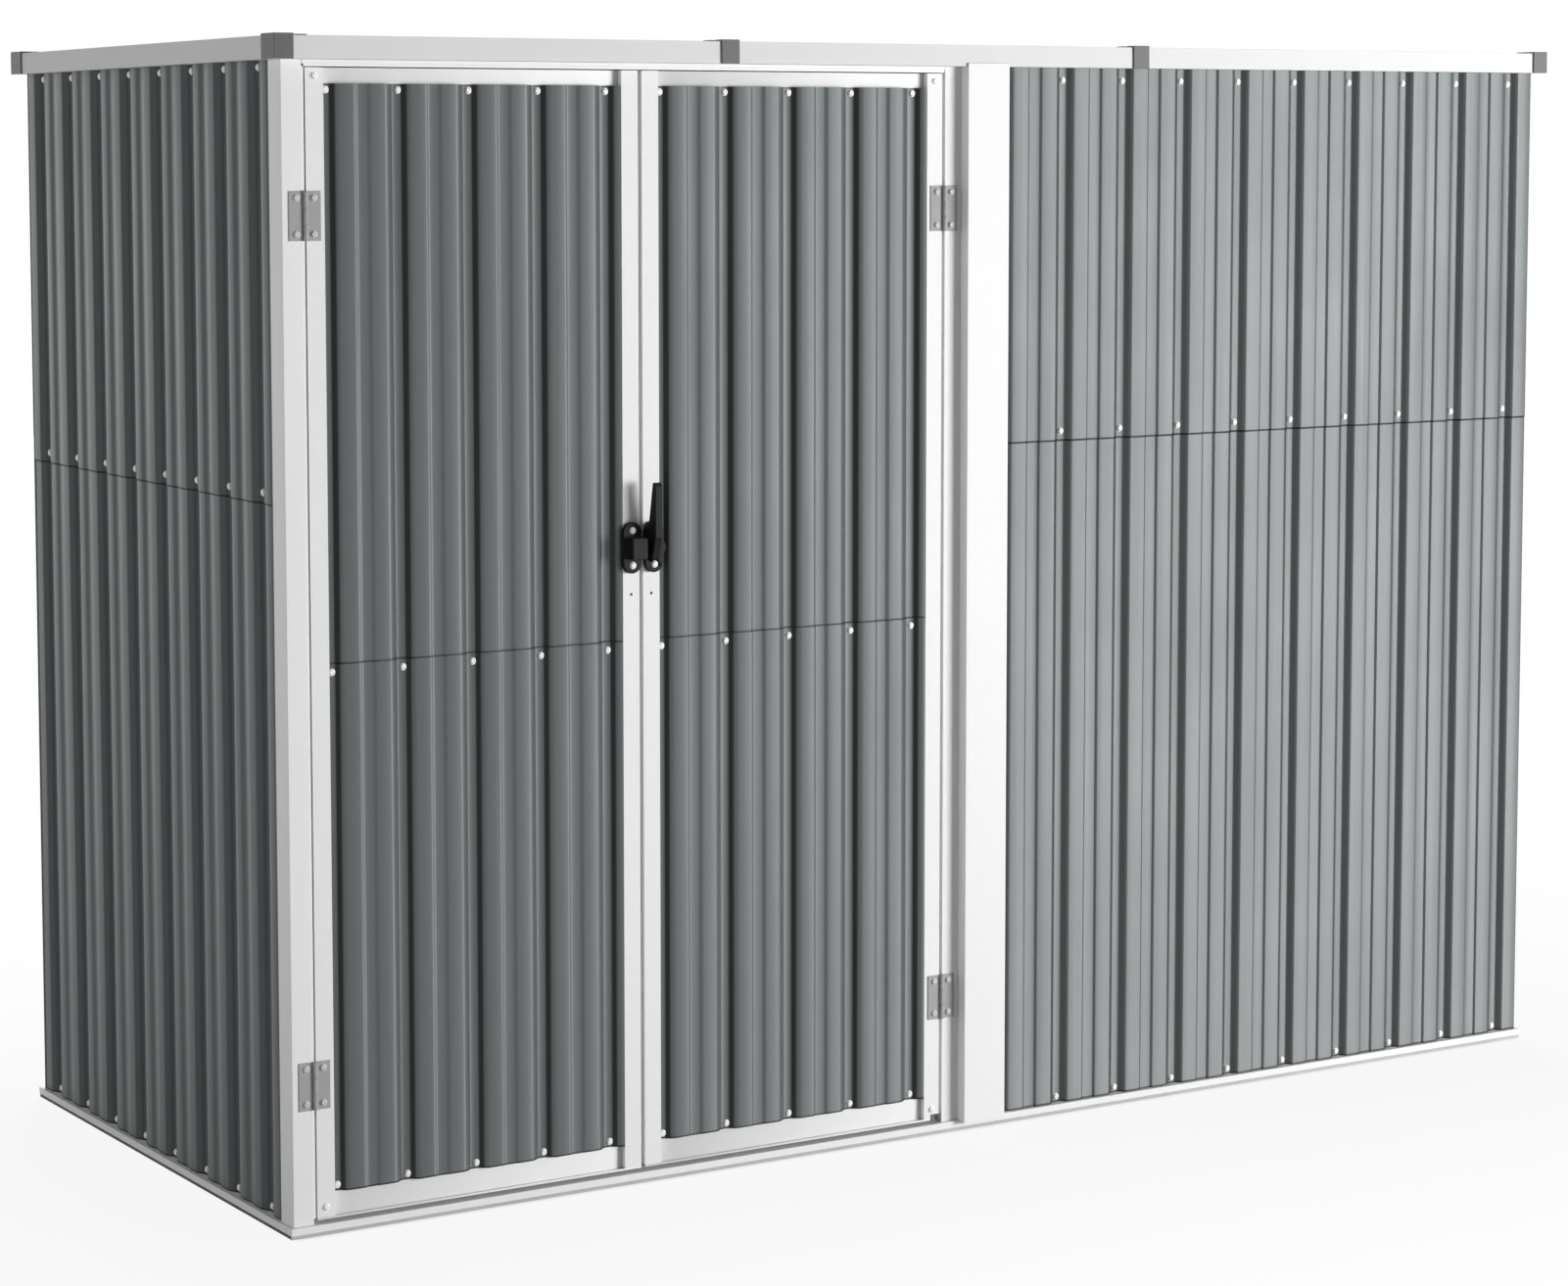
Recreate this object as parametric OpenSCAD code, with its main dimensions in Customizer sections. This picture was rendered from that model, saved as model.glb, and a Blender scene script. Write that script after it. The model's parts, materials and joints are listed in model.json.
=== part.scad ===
// Metal storage shed: lapped corrugated sheet walls on a light steel frame, a nearly flat sheet roof
// edged with white rails and dark corner caps, and a pair of hinged doors beside a wide door post.
// Millimetres. X runs along the front to the right, Y to the back, Z up from the ground.

/* [Overall] */
// Width over the wall sheets
wall_w = 2200; // [1900:10:2600]
// Depth over the wall sheets
wall_d = 911; // [760:1:1200]
// Height of the roof rail's underside at the front
wall_h = 1581; // [1400:1:1900]
// Fall of the roof from front to back
roof_fall = 8; // [4:0.5:30]

/* [Corrugated sheet] */
// Thickness of the sheet
sheet_t = 0.8; // [0.5:0.1:1.2]
// Rib pitch of the wall and roof sheets
wall_pitch = 110.5; // [100:0.5:130]
// Rib pitch of the door sheets
door_pitch = 106; // [100:0.5:120]
// Depth of a valley behind the crests
rib_depth = 8; // [5:0.5:12]
// Width of a valley floor
valley_w = 13.5; // [8:0.5:20]
// Run of a valley's sloping flank
flank_run = 8.5; // [5:0.5:12]
// Width of the shallow groove along a crest
groove_w = 19; // [12:0.5:24]
// Run of the groove's flank
groove_run = 2.8; // [2:0.1:6]
// Depth of the groove
groove_depth = 2.4; // [0.8:0.1:3]
// Overlap of an upper and a lower sheet
lap = 26; // [16:1:60]
// First valley of the front sheets beyond the wide door post
front_valley_u = 4.9; // [4:0.1:20]
// First valley of the side sheets from the front
side_valley = 87.3; // [70:0.1:110]

/* [Seams] */
// Height of the seam in the front and back walls
front_seam_z = 1027; // [700:1:1250]
// Height of the seam in the side walls
side_seam_z = 990; // [700:1:1250]
// Height of the seam in the door leaves
door_seam_z = 775; // [500:1:820]

/* [Base rails] */
// Height of the base rail's ledge
base_h = 15; // [12:0.5:30]
// Reach of the base rail outside the wall sheets
base_reach = 6; // [3:0.5:15]
// Height of the set-back foot under the base rail's face
base_foot = 5; // [3:0.5:8]
// Height of the upstand behind the sheets
base_upstand = 30; // [15:1:60]

/* [Frame] */
// Thickness of the folded frame steel
frame_t = 1.2; // [0.8:0.1:2]
// Height of the channels behind the sheets
channel_h = 40; // [25:1:60]
// Depth of the channels behind the sheets
channel_d = 20; // [12:1:35]
// Leg of the inner corner posts
angle_leg = 30; // [20:1:45]
// Front face of the left corner post
post_w = 30; // [24:1:50]
// Side face of the left corner post
post_side = 40; // [30:1:60]
// Tongue of the left corner post behind the side sheets
post_tongue = 16; // [10:1:30]
// Depth of the door frame's returns
return_d = 18; // [12:1:30]
// Width of the jamb that shows beside the right door
jamb_w = 28.5; // [15:0.5:50]
// Width of the wide door post
wide_post_w = 73; // [50:1:90]
// Reach of the wide door post in front of the sheets
wide_post_reach = 19; // [18:0.5:40]
// Overlap of the wide door post on the rail above it
wide_post_over = 5; // [2:0.5:8]
// Overlap of the wide door post on the base rail
wide_post_under = 2.5; // [1:0.5:4]
// Cover of the wide door post over the front sheets
post_cover = 38; // [30:1:46]

/* [Roof] */
// Height of the roof rails
rail_h = 31; // [24:0.5:60]
// Overhang of the roof rails at the front and back
rail_front = 16; // [8:0.5:17]
// Overhang of the roof rails at the sides
rail_side = 15; // [10:0.5:50]
// Reach of the rail's lower flange inside the sheets' outer face
rail_in = 42; // [30:1:60]
// Width of the rail's upper lip
rail_lip = 18; // [10:1:30]
// Place of the first roof joint from the left
roof_joint_a = 680; // [500:1:800]
// Place of the second roof joint from the left
roof_joint_b = 1400; // [1200:1:1600]
// Width of the roof beams
beam_w = 30; // [20:1:50]
// Height of the roof beams
beam_h = 24; // [15:1:40]

/* [Roof caps] */
// Wall of the plastic caps
cap_t = 2.5; // [1.5:0.1:4]
// Length of a corner cap along the front
cap_leg_front = 26; // [20:1:60]
// Length of a corner cap along the side
cap_leg_side = 38; // [20:1:60]
// Width of a joint cap
cap_joint_w = 29; // [20:1:60]
// Reach of the cap's thin tongue over the rail
cap_tongue = 20; // [5:1:40]

/* [Doors] */
// Width of a door leaf
leaf_w = 505; // [440:1:520]
// Gap between a leaf and the frame at its hinges
hinge_gap = 5; // [5:0.5:8]
// Gap between the two leaves
meet_gap = 6; // [6:0.5:10]
// Gap above and below a leaf
leaf_gap = 5; // [5:0.5:10]
// Height of the door header's face
header_h = 5.5; // [4:0.5:8]
// Width of a door stile
stile_w = 26.5; // [20:0.5:40]
// Depth of a door stile
stile_d = 20; // [16:0.5:35]
// Height of the leaf's top rail above its sheet
leaf_top_h = 21; // [12:1:60]
// Height of the leaf's bottom rail below its sheet
leaf_bottom_h = 35; // [20:1:80]
// Height of the lip under the leaf
leaf_lip = 3; // [2:0.5:6]
// First valley of a door sheet from the leaf's left edge
door_valley = 31; // [28:0.5:60]
// Width of the notch in the right leaf's foot at its hinges
notch_w = 15; // [8:0.5:22]
// Height of the notch in the right leaf's foot
notch_h = 9; // [5:0.5:15]
// Radius of the hole in each meeting stile
stile_hole_r = 2; // [1:0.5:4]
// Drop of the stile hole below the latch's middle
stile_hole_drop = 66; // [45:1:120]

/* [Hinges] */
// Height of a hinge
hinge_h = 66; // [45:1:100]
// Width of one hinge plate
hinge_plate_w = 23; // [18:0.5:26]
// Thickness of the hinge plates
hinge_t = 1.5; // [1:0.1:2]
// Radius of the hinge barrel
barrel_r = 3; // [2.8:0.1:4]
// Radius of the hinge pin
pin_r = 1.5; // [1.2:0.1:1.8]
// Height of the lower hinges' middle
hinge_low_z = 206; // [120:1:400]
// Height of the upper hinges' middle
hinge_high_z = 1375; // [1000:1:1380]

/* [Latch] */
// Height of the latch's middle
latch_z = 907; // [860:1:1100]
// Height of the latch plates
latch_h = 72; // [50:1:100]
// Width of the latch plates
latch_w = 29; // [22:1:34]
// Thickness of the latch plates
latch_t = 7; // [3:0.5:10]
// Reach of the keeper block in front of the door
keeper_reach = 25; // [15:1:40]
// Side of the keeper block
keeper_w = 24; // [14:1:26]
// Height of the keeper block
keeper_h = 30; // [20:1:50]
// Reach of the lever in front of the door
lever_reach = 34; // [20:1:50]
// Width of the lever
lever_w = 11; // [8:1:14]
// Distance of the lever from the leaf's meeting edge
lever_edge = 1; // [0.5:0.5:3]
// Reach of the lever's foot in front of the door
lever_foot_reach = 24; // [14:1:34]
// Depth of the lever's grip
lever_grip = 8.5; // [5:0.5:14]
// Height of the lever's bend above the latch's middle
lever_bend = 24; // [18:1:50]
// Height of the lever above the latch's middle
lever_up = 92; // [60:1:130]
// Height of the lever below the latch's middle
lever_down = 16; // [5:1:30]

/* [Clearances] */
// Gap between pieces that seat on each other
fit = 0.1; // [0.05:0.01:0.15]
// Gap between the ends of pieces in a row
end_gap = 0.4; // [0.2:0.1:1]
// Radial clearance of the hinge pin
pin_fit = 0.05; // [0.02:0.01:0.1]
// Gap between a hinge plate and the barrel's line
plate_gap = 0.3; // [0.2:0.1:0.6]
// Gap between neighbouring hinge knuckles
knuckle_gap = 0.4; // [0.2:0.1:1]

/* [Hidden] */
$fn = 48;

trim_white = "#e9ebeb";
sheet_grey = "#8d9392";
steel_grey = "#b4b7b8";
cap_grey = "#5d5e60";
latch_black = "#1c1d1f";

// A lapped sheet stands this far in front of the one behind it.
lap_step = sheet_t + fit;
// Back of the wall sheets' valleys: the upper sheets lie outside the lower ones.
upper_back = rib_depth + sheet_t;
lower_back = upper_back + lap_step;
upper_seat = upper_back + fit;
lower_seat = lower_back + fit;
post_seat = lower_seat + frame_t + fit;

roof_slope = atan(roof_fall / wall_d);
roof_d = wall_d / cos(roof_slope);
cap_proud = fit + cap_t;
cap_top = rail_h + cap_proud;
x_left = -wall_w / 2;
x_right = wall_w / 2;
front_reach = max(lever_reach, wide_post_reach);
back_reach = (roof_d + rail_front + cap_proud) * cos(roof_slope) + cap_top * sin(roof_slope);
y_front = (front_reach - back_reach) / 2;
y_back = y_front + wall_d;

sheet_z = base_h + fit;
leaf_z = base_h + leaf_gap;
header_z = wall_h - header_h;
leaf_h = header_z - leaf_gap - leaf_z;
left_leaf_s = post_w + hinge_gap;
right_leaf_s = left_leaf_s + 2 * leaf_w + meet_gap;
jamb_s = right_leaf_s + hinge_gap;
wide_post_s = jamb_s + jamb_w;
wide_post_end = wide_post_s + wide_post_w;
front_sheet_s = wide_post_end - post_cover;
hinge_axis_n = -barrel_r - 2 * fit;

// Rib lattices: the place of one valley centre along the front, the back and the roof.
front_valley = wide_post_end + front_valley_u;
roof_valley = roof_joint_a + wall_pitch / 2;

// Depth of a sheet behind its crest plane over one pitch, from one valley centre to the next.
function rib_table(pitch) =
  let (
    crest_w = (pitch - valley_w - groove_w) / 2 - flank_run - groove_run,
    a = valley_w / 2,
    b = a + flank_run,
    c = b + crest_w,
    d = c + groove_run
  )
  [
    [a, rib_depth], [b, 0], [c, 0], [d, groove_depth],
    [pitch - d, groove_depth], [pitch - c, 0], [pitch - b, 0], [pitch - a, rib_depth]
  ];

function rib_at(u, pitch, valley) =
  lookup((u - valley) - pitch * floor((u - valley) / pitch), rib_table(pitch));

// Points of the sheet's face between two places along it.
function rib_line(from, to, pitch, valley) = [
  [from, rib_at(from, pitch, valley)],
  for (n = [floor((from - valley) / pitch):floor((to - valley) / pitch)], bend = rib_table(pitch))
    let (u = valley + n * pitch + bend[0])
    if (u > from && u < to) [u, bend[1]],
  [to, rib_at(to, pitch, valley)]
];

// Depth that the side sheets' ends keep behind the front and back sheets at a corner.
function corner_inset(from, to) =
  lap_step + sheet_t + fit
  + max([for (u = [from:(to - from) / 8:to]) rib_at(u, wall_pitch, front_valley)]);

module ribbed_profile(from, to, pitch, valley) {
  line = rib_line(from, to, pitch, valley);
  back = [for (i = [len(line) - 1:-1:0]) line[i] + [0, sheet_t]];
  polygon(concat(line, back));
}

module ribbed_sheet(from, to, z_low, z_high, pitch, valley) {
  translate([0, 0, z_low])
    linear_extrude(z_high - z_low)
      ribbed_profile(from, to, pitch, valley);
}

// Local frames of the walls: u along the wall, n inwards from the sheets' outer face.
module on_front() { translate([x_left, y_front, 0]) children(); }
module on_back() { translate([x_left, y_back, 0]) mirror([0, 1, 0]) children(); }
module on_left() { translate([x_left, y_front, 0]) mirror([1, -1, 0]) children(); }
module on_right() { translate([x_right, y_front, 0]) rotate([0, 0, 90]) children(); }

// Frame of the roof: the plane that the wall tops are cut to.
module on_roof() { translate([x_left, y_front, wall_h]) rotate([-roof_slope, 0, 0]) children(); }
module on_roof_back() { on_roof() translate([0, roof_d, 0]) mirror([0, 1, 0]) children(); }
module on_roof_left() { on_roof() mirror([1, -1, 0]) children(); }
module on_roof_right() { on_roof() translate([wall_w, 0, 0]) rotate([0, 0, 90]) children(); }

module below_roof() {
  span = 2 * (wall_w + wall_d);
  difference() {
    children();
    on_roof() translate([-span / 2, -span / 2, -fit]) cube([span, span, span]);
  }
}

// Draws a section in (n, z) and runs it along u.
module along(from, to) {
  translate([from, 0, 0]) rotate([90, 0, 90]) linear_extrude(to - from) children();
}

module channel_section(n, z, h) {
  translate([n, z])
    polygon([
      [0, 0], [channel_d, 0], [channel_d, frame_t], [frame_t, frame_t],
      [frame_t, h - frame_t], [channel_d, h - frame_t], [channel_d, h], [0, h]
    ]);
}

// Base rails: a face in front of the sheets over a foot that stands back under them
base_in = lower_seat + frame_t;
module base_section() {
  polygon([
    [-base_reach, base_foot], [frame_t, base_foot], [frame_t, base_foot + frame_t],
    [frame_t - base_reach, base_foot + frame_t], [frame_t - base_reach, base_h - frame_t],
    [base_in, base_h - frame_t], [base_in, base_h], [-base_reach, base_h]
  ]);
}

module base_foot_section() {
  polygon([
    [0, 0], [base_in, 0], [base_in, frame_t], [frame_t, frame_t], [frame_t, base_foot + frame_t],
    [0, base_foot + frame_t]
  ]);
}

module base_upstand_section() {
  translate([lower_seat, base_h - frame_t]) square([frame_t, base_upstand + frame_t]);
}

// Plates that close the ends of a long base rail at the shed's corners
module base_ends() {
  for (s = [-base_reach, wall_w + base_reach - frame_t])
    translate([s, -base_reach, base_foot]) cube([frame_t, base_reach + base_in, base_h - base_foot]);
}

module base_front_rail() {
  color(trim_white) on_front() {
    along(-base_reach, wall_w + base_reach) base_section();
    base_ends();
    along(0, wall_w) base_foot_section();
    along(front_sheet_s, wall_w - post_seat) base_upstand_section();
  }
}

module base_back_rail() {
  color(trim_white) on_back() {
    along(-base_reach, wall_w + base_reach) base_section();
    base_ends();
    along(0, wall_w) base_foot_section();
    along(post_seat, wall_w - post_seat) base_upstand_section();
  }
}

module base_side_rail() {
  inset = base_in + end_gap;
  along(inset, wall_d - inset) {
    base_section();
    base_foot_section();
    base_upstand_section();
  }
}

module base_side_rails() {
  color(trim_white) {
    on_left() base_side_rail();
    on_right() base_side_rail();
  }
}

// Posts and door frame
module front_left_post() {
  rebate = groove_depth + lap_step + sheet_t + fit;
  tongue = post_side + post_tongue;
  color(trim_white) below_roof() on_front()
    translate([0, 0, sheet_z])
      linear_extrude(wall_h)
        polygon([
          [0, 0], [post_w, 0], [post_w, return_d], [post_w - frame_t, return_d], [post_w - frame_t, frame_t],
          [frame_t, frame_t], [frame_t, post_side - frame_t], [rebate + frame_t, post_side - frame_t],
          [rebate + frame_t, tongue], [rebate, tongue], [rebate, post_side], [0, post_side]
        ]);
}

module inner_post() {
  translate([post_seat, post_seat, sheet_z])
    linear_extrude(wall_h)
      polygon([
        [0, 0], [angle_leg, 0], [angle_leg, frame_t], [frame_t, frame_t], [frame_t, angle_leg], [0, angle_leg]
      ]);
}

module inner_corner_posts() {
  color(steel_grey) below_roof() {
    on_front() translate([wall_w, 0, 0]) mirror([1, 0, 0]) inner_post();
    on_back() inner_post();
    on_back() translate([wall_w, 0, 0]) mirror([1, 0, 0]) inner_post();
  }
}

module door_jamb() {
  jamb_end = front_sheet_s - end_gap;
  color(trim_white) below_roof() on_front()
    translate([jamb_s, 0, sheet_z])
      linear_extrude(wall_h)
        difference() {
          square([jamb_end - jamb_s, return_d]);
          translate([frame_t, frame_t]) square([jamb_end - jamb_s - 2 * frame_t, return_d]);
        }
}

module wide_post() {
  foot = wide_post_end - front_sheet_s - flank_run;
  color(trim_white) on_front() {
    translate([wide_post_s, -wide_post_reach, base_h - wide_post_under])
      cube([wide_post_w, frame_t, wall_h - base_h + wide_post_under + wide_post_over]);
    translate([0, 0, sheet_z])
      linear_extrude(wall_h - sheet_z - fit) {
        translate([wide_post_s, -wide_post_reach]) square([frame_t, wide_post_reach - fit]);
        translate([wide_post_s, -frame_t - fit]) square([foot, frame_t]);
        translate([wide_post_end - frame_t, -wide_post_reach]) square([frame_t, wide_post_reach - fit]);
        translate([wide_post_end - foot, -frame_t - fit]) square([foot, frame_t]);
      }
  }
}

module door_header() {
  color(trim_white) below_roof() on_front()
    along(post_w + end_gap, jamb_s - end_gap)
      translate([0, header_z])
        difference() {
          square([stile_d, 2 * header_h]);
          translate([frame_t, frame_t]) square([stile_d - 2 * frame_t, 2 * header_h]);
        }
}

// Wall sheets: the upper sheet laps over the outside of the lower one.
module wall_lower(from, to, seam, valley) {
  translate([0, lap_step, 0])
    ribbed_sheet(from, to, sheet_z, seam + lap, wall_pitch, valley);
}

module wall_upper(from, to, seam, valley) {
  ribbed_sheet(from, to, seam, 2 * wall_h, wall_pitch, valley);
}

// The side sheets end just inside the front and back sheets.
left_sheet_from = post_side + fit;
left_sheet_to = wall_d - corner_inset(0, lower_back);
right_sheet_from = corner_inset(wall_w - lower_back, wall_w);
right_sheet_to = wall_d - right_sheet_from;

module side_lower(from, to) { wall_lower(from, to, side_seam_z, side_valley); }
module side_upper(from, to) { wall_upper(from, to, side_seam_z, side_valley); }
module long_lower(from) { wall_lower(from, wall_w, front_seam_z, front_valley); }
module long_upper(from) { wall_upper(from, wall_w, front_seam_z, front_valley); }

module left_wall_lower() { color(sheet_grey) on_left() side_lower(left_sheet_from, left_sheet_to); }
module left_wall_upper() {
  color(sheet_grey) below_roof() on_left() side_upper(left_sheet_from, left_sheet_to);
}
module right_wall_lower() { color(sheet_grey) on_right() side_lower(right_sheet_from, right_sheet_to); }
module right_wall_upper() {
  color(sheet_grey) below_roof() on_right() side_upper(right_sheet_from, right_sheet_to);
}
module back_wall_lower() { color(sheet_grey) on_back() long_lower(0); }
module back_wall_upper() { color(sheet_grey) below_roof() on_back() long_upper(0); }
module front_wall_lower() { color(sheet_grey) on_front() long_lower(front_sheet_s); }
module front_wall_upper() { color(sheet_grey) below_roof() on_front() long_upper(front_sheet_s); }

// Channels behind the seams and along the wall tops
module mid_rail(from, to, seam) {
  along(from, to) channel_section(lower_seat, seam - channel_h / 2 + lap / 2, channel_h);
}

module top_rail(from, to) {
  along(from, to) channel_section(upper_seat, wall_h - roof_fall - channel_h, channel_h);
}

rail_inset = post_seat + angle_leg + end_gap;
left_rail_start = post_side + post_tongue + end_gap;
front_rail_start = front_sheet_s;

module wall_mid_rails() {
  color(steel_grey) {
    on_front() mid_rail(front_rail_start, wall_w - rail_inset, front_seam_z);
    on_back() mid_rail(rail_inset, wall_w - rail_inset, front_seam_z);
    on_left() mid_rail(left_rail_start, wall_d - rail_inset, side_seam_z);
    on_right() mid_rail(rail_inset, wall_d - rail_inset, side_seam_z);
  }
}

module wall_top_rails() {
  color(steel_grey) below_roof() {
    on_front() top_rail(front_rail_start, wall_w - rail_inset);
    on_back() top_rail(rail_inset, wall_w - rail_inset);
    on_left() top_rail(left_rail_start, wall_d - rail_inset);
    on_right() top_rail(rail_inset, wall_d - rail_inset);
  }
}

// Roof rails, mitred at the corners under the caps
module rail_section(overhang) {
  polygon([
    [-overhang, 0], [rail_in, 0], [rail_in, frame_t], [frame_t - overhang, frame_t],
    [frame_t - overhang, rail_h - frame_t], [rail_lip - overhang, rail_h - frame_t],
    [rail_lip - overhang, rail_h], [-overhang, rail_h]
  ]);
}

module mitred(length, overhang, end_overhang, gap) {
  reach = overhang + rail_in;
  intersection() {
    along(-end_overhang, length + end_overhang) rail_section(overhang);
    linear_extrude(2 * rail_h, center = true)
      polygon([
        [gap - end_overhang, -overhang], [length + end_overhang - gap, -overhang],
        [length + end_overhang - gap - reach, rail_in], [gap - end_overhang + reach, rail_in]
      ]);
  }
}

module long_rails() {
  difference() {
    mitred(wall_w, rail_front, rail_side, 0);
    for (joint = [roof_joint_a, roof_joint_b])
      translate([joint - end_gap / 2, -wall_d / 2, -rail_h]) cube([end_gap, wall_d, 3 * rail_h]);
  }
}

module roof_rails_front() { color(trim_white) on_roof() long_rails(); }
module roof_rails_back() { color(trim_white) on_roof_back() long_rails(); }

module roof_rails_side() {
  color(trim_white) {
    on_roof_left() mitred(roof_d, rail_side, rail_front, end_gap);
    on_roof_right() mitred(roof_d, rail_side, rail_front, end_gap);
  }
}

// Roof sheets lie on the rails' lower flanges; the middle one laps over its neighbours.
module roof_sheet(from, to, raise) {
  start = frame_t + end_gap - rail_front;
  translate([0, start, frame_t + fit + upper_back + raise])
    rotate([-90, 0, 0])
      linear_extrude(roof_d - 2 * start)
        ribbed_profile(from, to, wall_pitch, roof_valley);
}

roof_edge = rail_side - frame_t - end_gap;
module roof_sheet_left() { color(sheet_grey) on_roof() roof_sheet(-roof_edge, roof_joint_a + lap, 0); }
module roof_sheet_middle() {
  color(sheet_grey) on_roof() roof_sheet(roof_joint_a - lap, roof_joint_b + lap, lap_step);
}
module roof_sheet_right() {
  color(sheet_grey) on_roof() roof_sheet(roof_joint_b - lap, wall_w + roof_edge, 0);
}

// Beams under the roof joints, with tongues that sit under the rails' flanges
module roof_beam(middle) {
  tongue = rail_in - channel_d - lower_seat;
  translate([middle - beam_w / 2, 0, 0]) {
    translate([0, rail_in + end_gap, 0])
      rotate([-90, 0, 0])
        linear_extrude(roof_d - 2 * (rail_in + end_gap))
          difference() {
            translate([0, -frame_t]) square([beam_w, beam_h]);
            translate([frame_t, 0]) square([beam_w - 2 * frame_t, beam_h]);
          }
    translate([0, rail_in - tongue, -frame_t - fit])
      cube([beam_w, roof_d - 2 * (rail_in - tongue), frame_t]);
  }
}

module roof_beams() {
  color(steel_grey) on_roof() {
    roof_beam(roof_joint_a);
    roof_beam(roof_joint_b);
  }
}

// Caps: plastic shells round the rail corners and joints
module corner_cap(leg_u, leg_v) {
  linear_extrude(cap_top) {
    translate([-cap_proud, -cap_proud]) square([leg_u + cap_proud, cap_t]);
    translate([-cap_proud, -cap_proud]) square([cap_t, leg_v + cap_proud]);
  }
  translate([-cap_proud, -cap_proud, rail_h + fit]) cube([leg_u + cap_proud, leg_v + cap_proud, cap_t]);
  translate([0, -cap_proud, rail_h + fit]) cube([leg_u + cap_tongue, rail_lip, cap_t / 2]);
}

module front_corner_caps() {
  translate([-rail_side, -rail_front, 0]) corner_cap(cap_leg_front, cap_leg_side);
  translate([wall_w + rail_side, -rail_front, 0]) mirror([1, 0, 0]) corner_cap(cap_leg_front, cap_leg_side);
}

module roof_corner_caps() {
  color(cap_grey) {
    on_roof() front_corner_caps();
    on_roof_back() front_corner_caps();
  }
}

module joint_cap() {
  translate([-cap_joint_w / 2, -cap_proud - rail_front, 0]) {
    cube([cap_joint_w, cap_t, cap_top]);
    translate([0, 0, rail_h + fit]) cube([cap_joint_w, rail_lip, cap_t]);
    translate([-cap_tongue, 0, rail_h + fit]) cube([cap_tongue, rail_lip, cap_t / 2]);
  }
}

module joint_caps() {
  for (joint = [roof_joint_a, roof_joint_b]) translate([joint, 0, 0]) joint_cap();
}

module roof_joint_caps() {
  color(cap_grey) {
    on_roof() joint_caps();
    on_roof_back() joint_caps();
  }
}

// Door leaves: u from the hinge edge towards the meeting edge, n inwards from the leaf's front face
module on_left_leaf() { translate([x_left + left_leaf_s, y_front, 0]) children(); }
module on_right_leaf() { translate([x_left + right_leaf_s, y_front, 0]) mirror([1, 0, 0]) children(); }

// The lower door sheet laps over the outside of the upper one.
door_lower_n = fit;
door_upper_n = door_lower_n + lap_step;
door_sheet_low = leaf_z + leaf_bottom_h;
door_sheet_high = leaf_z + leaf_h - leaf_top_h;
leaf_sheet_from = stile_w + fit;
leaf_sheet_to = leaf_w - stile_w - fit;

module leaf_stiles() {
  foot = leaf_z + leaf_lip;
  difference() {
    for (u = [0, leaf_w - stile_w])
      translate([u, 0, foot])
        linear_extrude(leaf_z + leaf_h - foot)
          difference() {
            square([stile_w, stile_d]);
            translate([frame_t, frame_t]) square([stile_w - 2 * frame_t, stile_d]);
          }
    translate([leaf_w - stile_w / 2, 0, latch_z - stile_hole_drop])
      rotate([90, 0, 0]) cylinder(r = stile_hole_r, h = stile_d / 2, center = true);
  }
}

module foot_notch() {
  translate([-notch_w, -stile_d, leaf_z - notch_h]) cube([2 * notch_w, 3 * stile_d, 2 * notch_h]);
}

module leaf_rails() {
  from = stile_w + end_gap;
  to = leaf_w - stile_w - end_gap;
  low_n = door_lower_n + upper_seat;
  high_n = door_upper_n + upper_seat;
  along(from, to) {
    translate([0, leaf_z]) {
      translate([low_n, 0]) square([frame_t, leaf_bottom_h + channel_h / 2]);
      square([stile_d, frame_t]);
      square([frame_t, leaf_lip - fit]);
    }
  }
  translate([0, 0, leaf_z]) cube([leaf_w, stile_d, frame_t]);
  translate([0, 0, leaf_z]) cube([leaf_w, frame_t, leaf_lip - fit]);
  along(from, to) channel_section(high_n, door_seam_z - channel_h / 2 - lap / 2, channel_h);
  along(from, to) channel_section(high_n, leaf_z + leaf_h - channel_h, channel_h);
}

module leaf_lower_sheet(valley) {
  translate([0, door_lower_n, 0])
    ribbed_sheet(leaf_sheet_from, leaf_sheet_to, door_sheet_low, door_seam_z, door_pitch, valley);
}

module leaf_upper_sheet(valley) {
  translate([0, door_upper_n, 0])
    ribbed_sheet(leaf_sheet_from, leaf_sheet_to, door_seam_z - lap, door_sheet_high, door_pitch, valley);
}

// Hinges: the frame's half carries the pin in its outer knuckles, the door's half turns on it.
knuckle_h = (hinge_h - 2 * knuckle_gap) / 3;
plate_start = barrel_r + plate_gap;

module hinge_plate(sign) {
  translate([sign > 0 ? plate_start : -hinge_plate_w, -hinge_axis_n - hinge_t, -hinge_h / 2])
    cube([hinge_plate_w - plate_start, hinge_t, hinge_h]);
}

module hinge_knuckle(sign, z) {
  translate([0, 0, z]) {
    cylinder(r = barrel_r, h = knuckle_h);
    translate([sign > 0 ? 0 : -plate_start - fit, -hinge_axis_n - hinge_t, 0])
      cube([plate_start + fit, hinge_t - fit, knuckle_h]);
  }
}

module frame_hinge() {
  hinge_plate(-1);
  hinge_knuckle(-1, -hinge_h / 2);
  hinge_knuckle(-1, hinge_h / 2 - knuckle_h);
  translate([0, 0, -hinge_h / 2]) cylinder(r = pin_r, h = hinge_h);
}

module door_hinge() {
  difference() {
    union() {
      hinge_plate(1);
      hinge_knuckle(1, -knuckle_h / 2);
    }
    translate([0, 0, -hinge_h]) cylinder(r = pin_r + pin_fit, h = 2 * hinge_h);
  }
}

module at_hinges() {
  for (z = [hinge_low_z, hinge_high_z])
    translate([-hinge_gap / 2, hinge_axis_n, z]) children();
}

// Latch: a keeper with a proud block on the left leaf, a plate with an upright lever on the right leaf
module latch_plate(u_edge) {
  round = latch_w / 2;
  translate([u_edge - round, 0, latch_z])
    rotate([90, 0, 0])
      linear_extrude(latch_t) {
        square([latch_w, latch_h - latch_w], center = true);
        for (side = [-1, 1]) translate([0, side * (latch_h / 2 - round)]) circle(r = round);
      }
}

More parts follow.
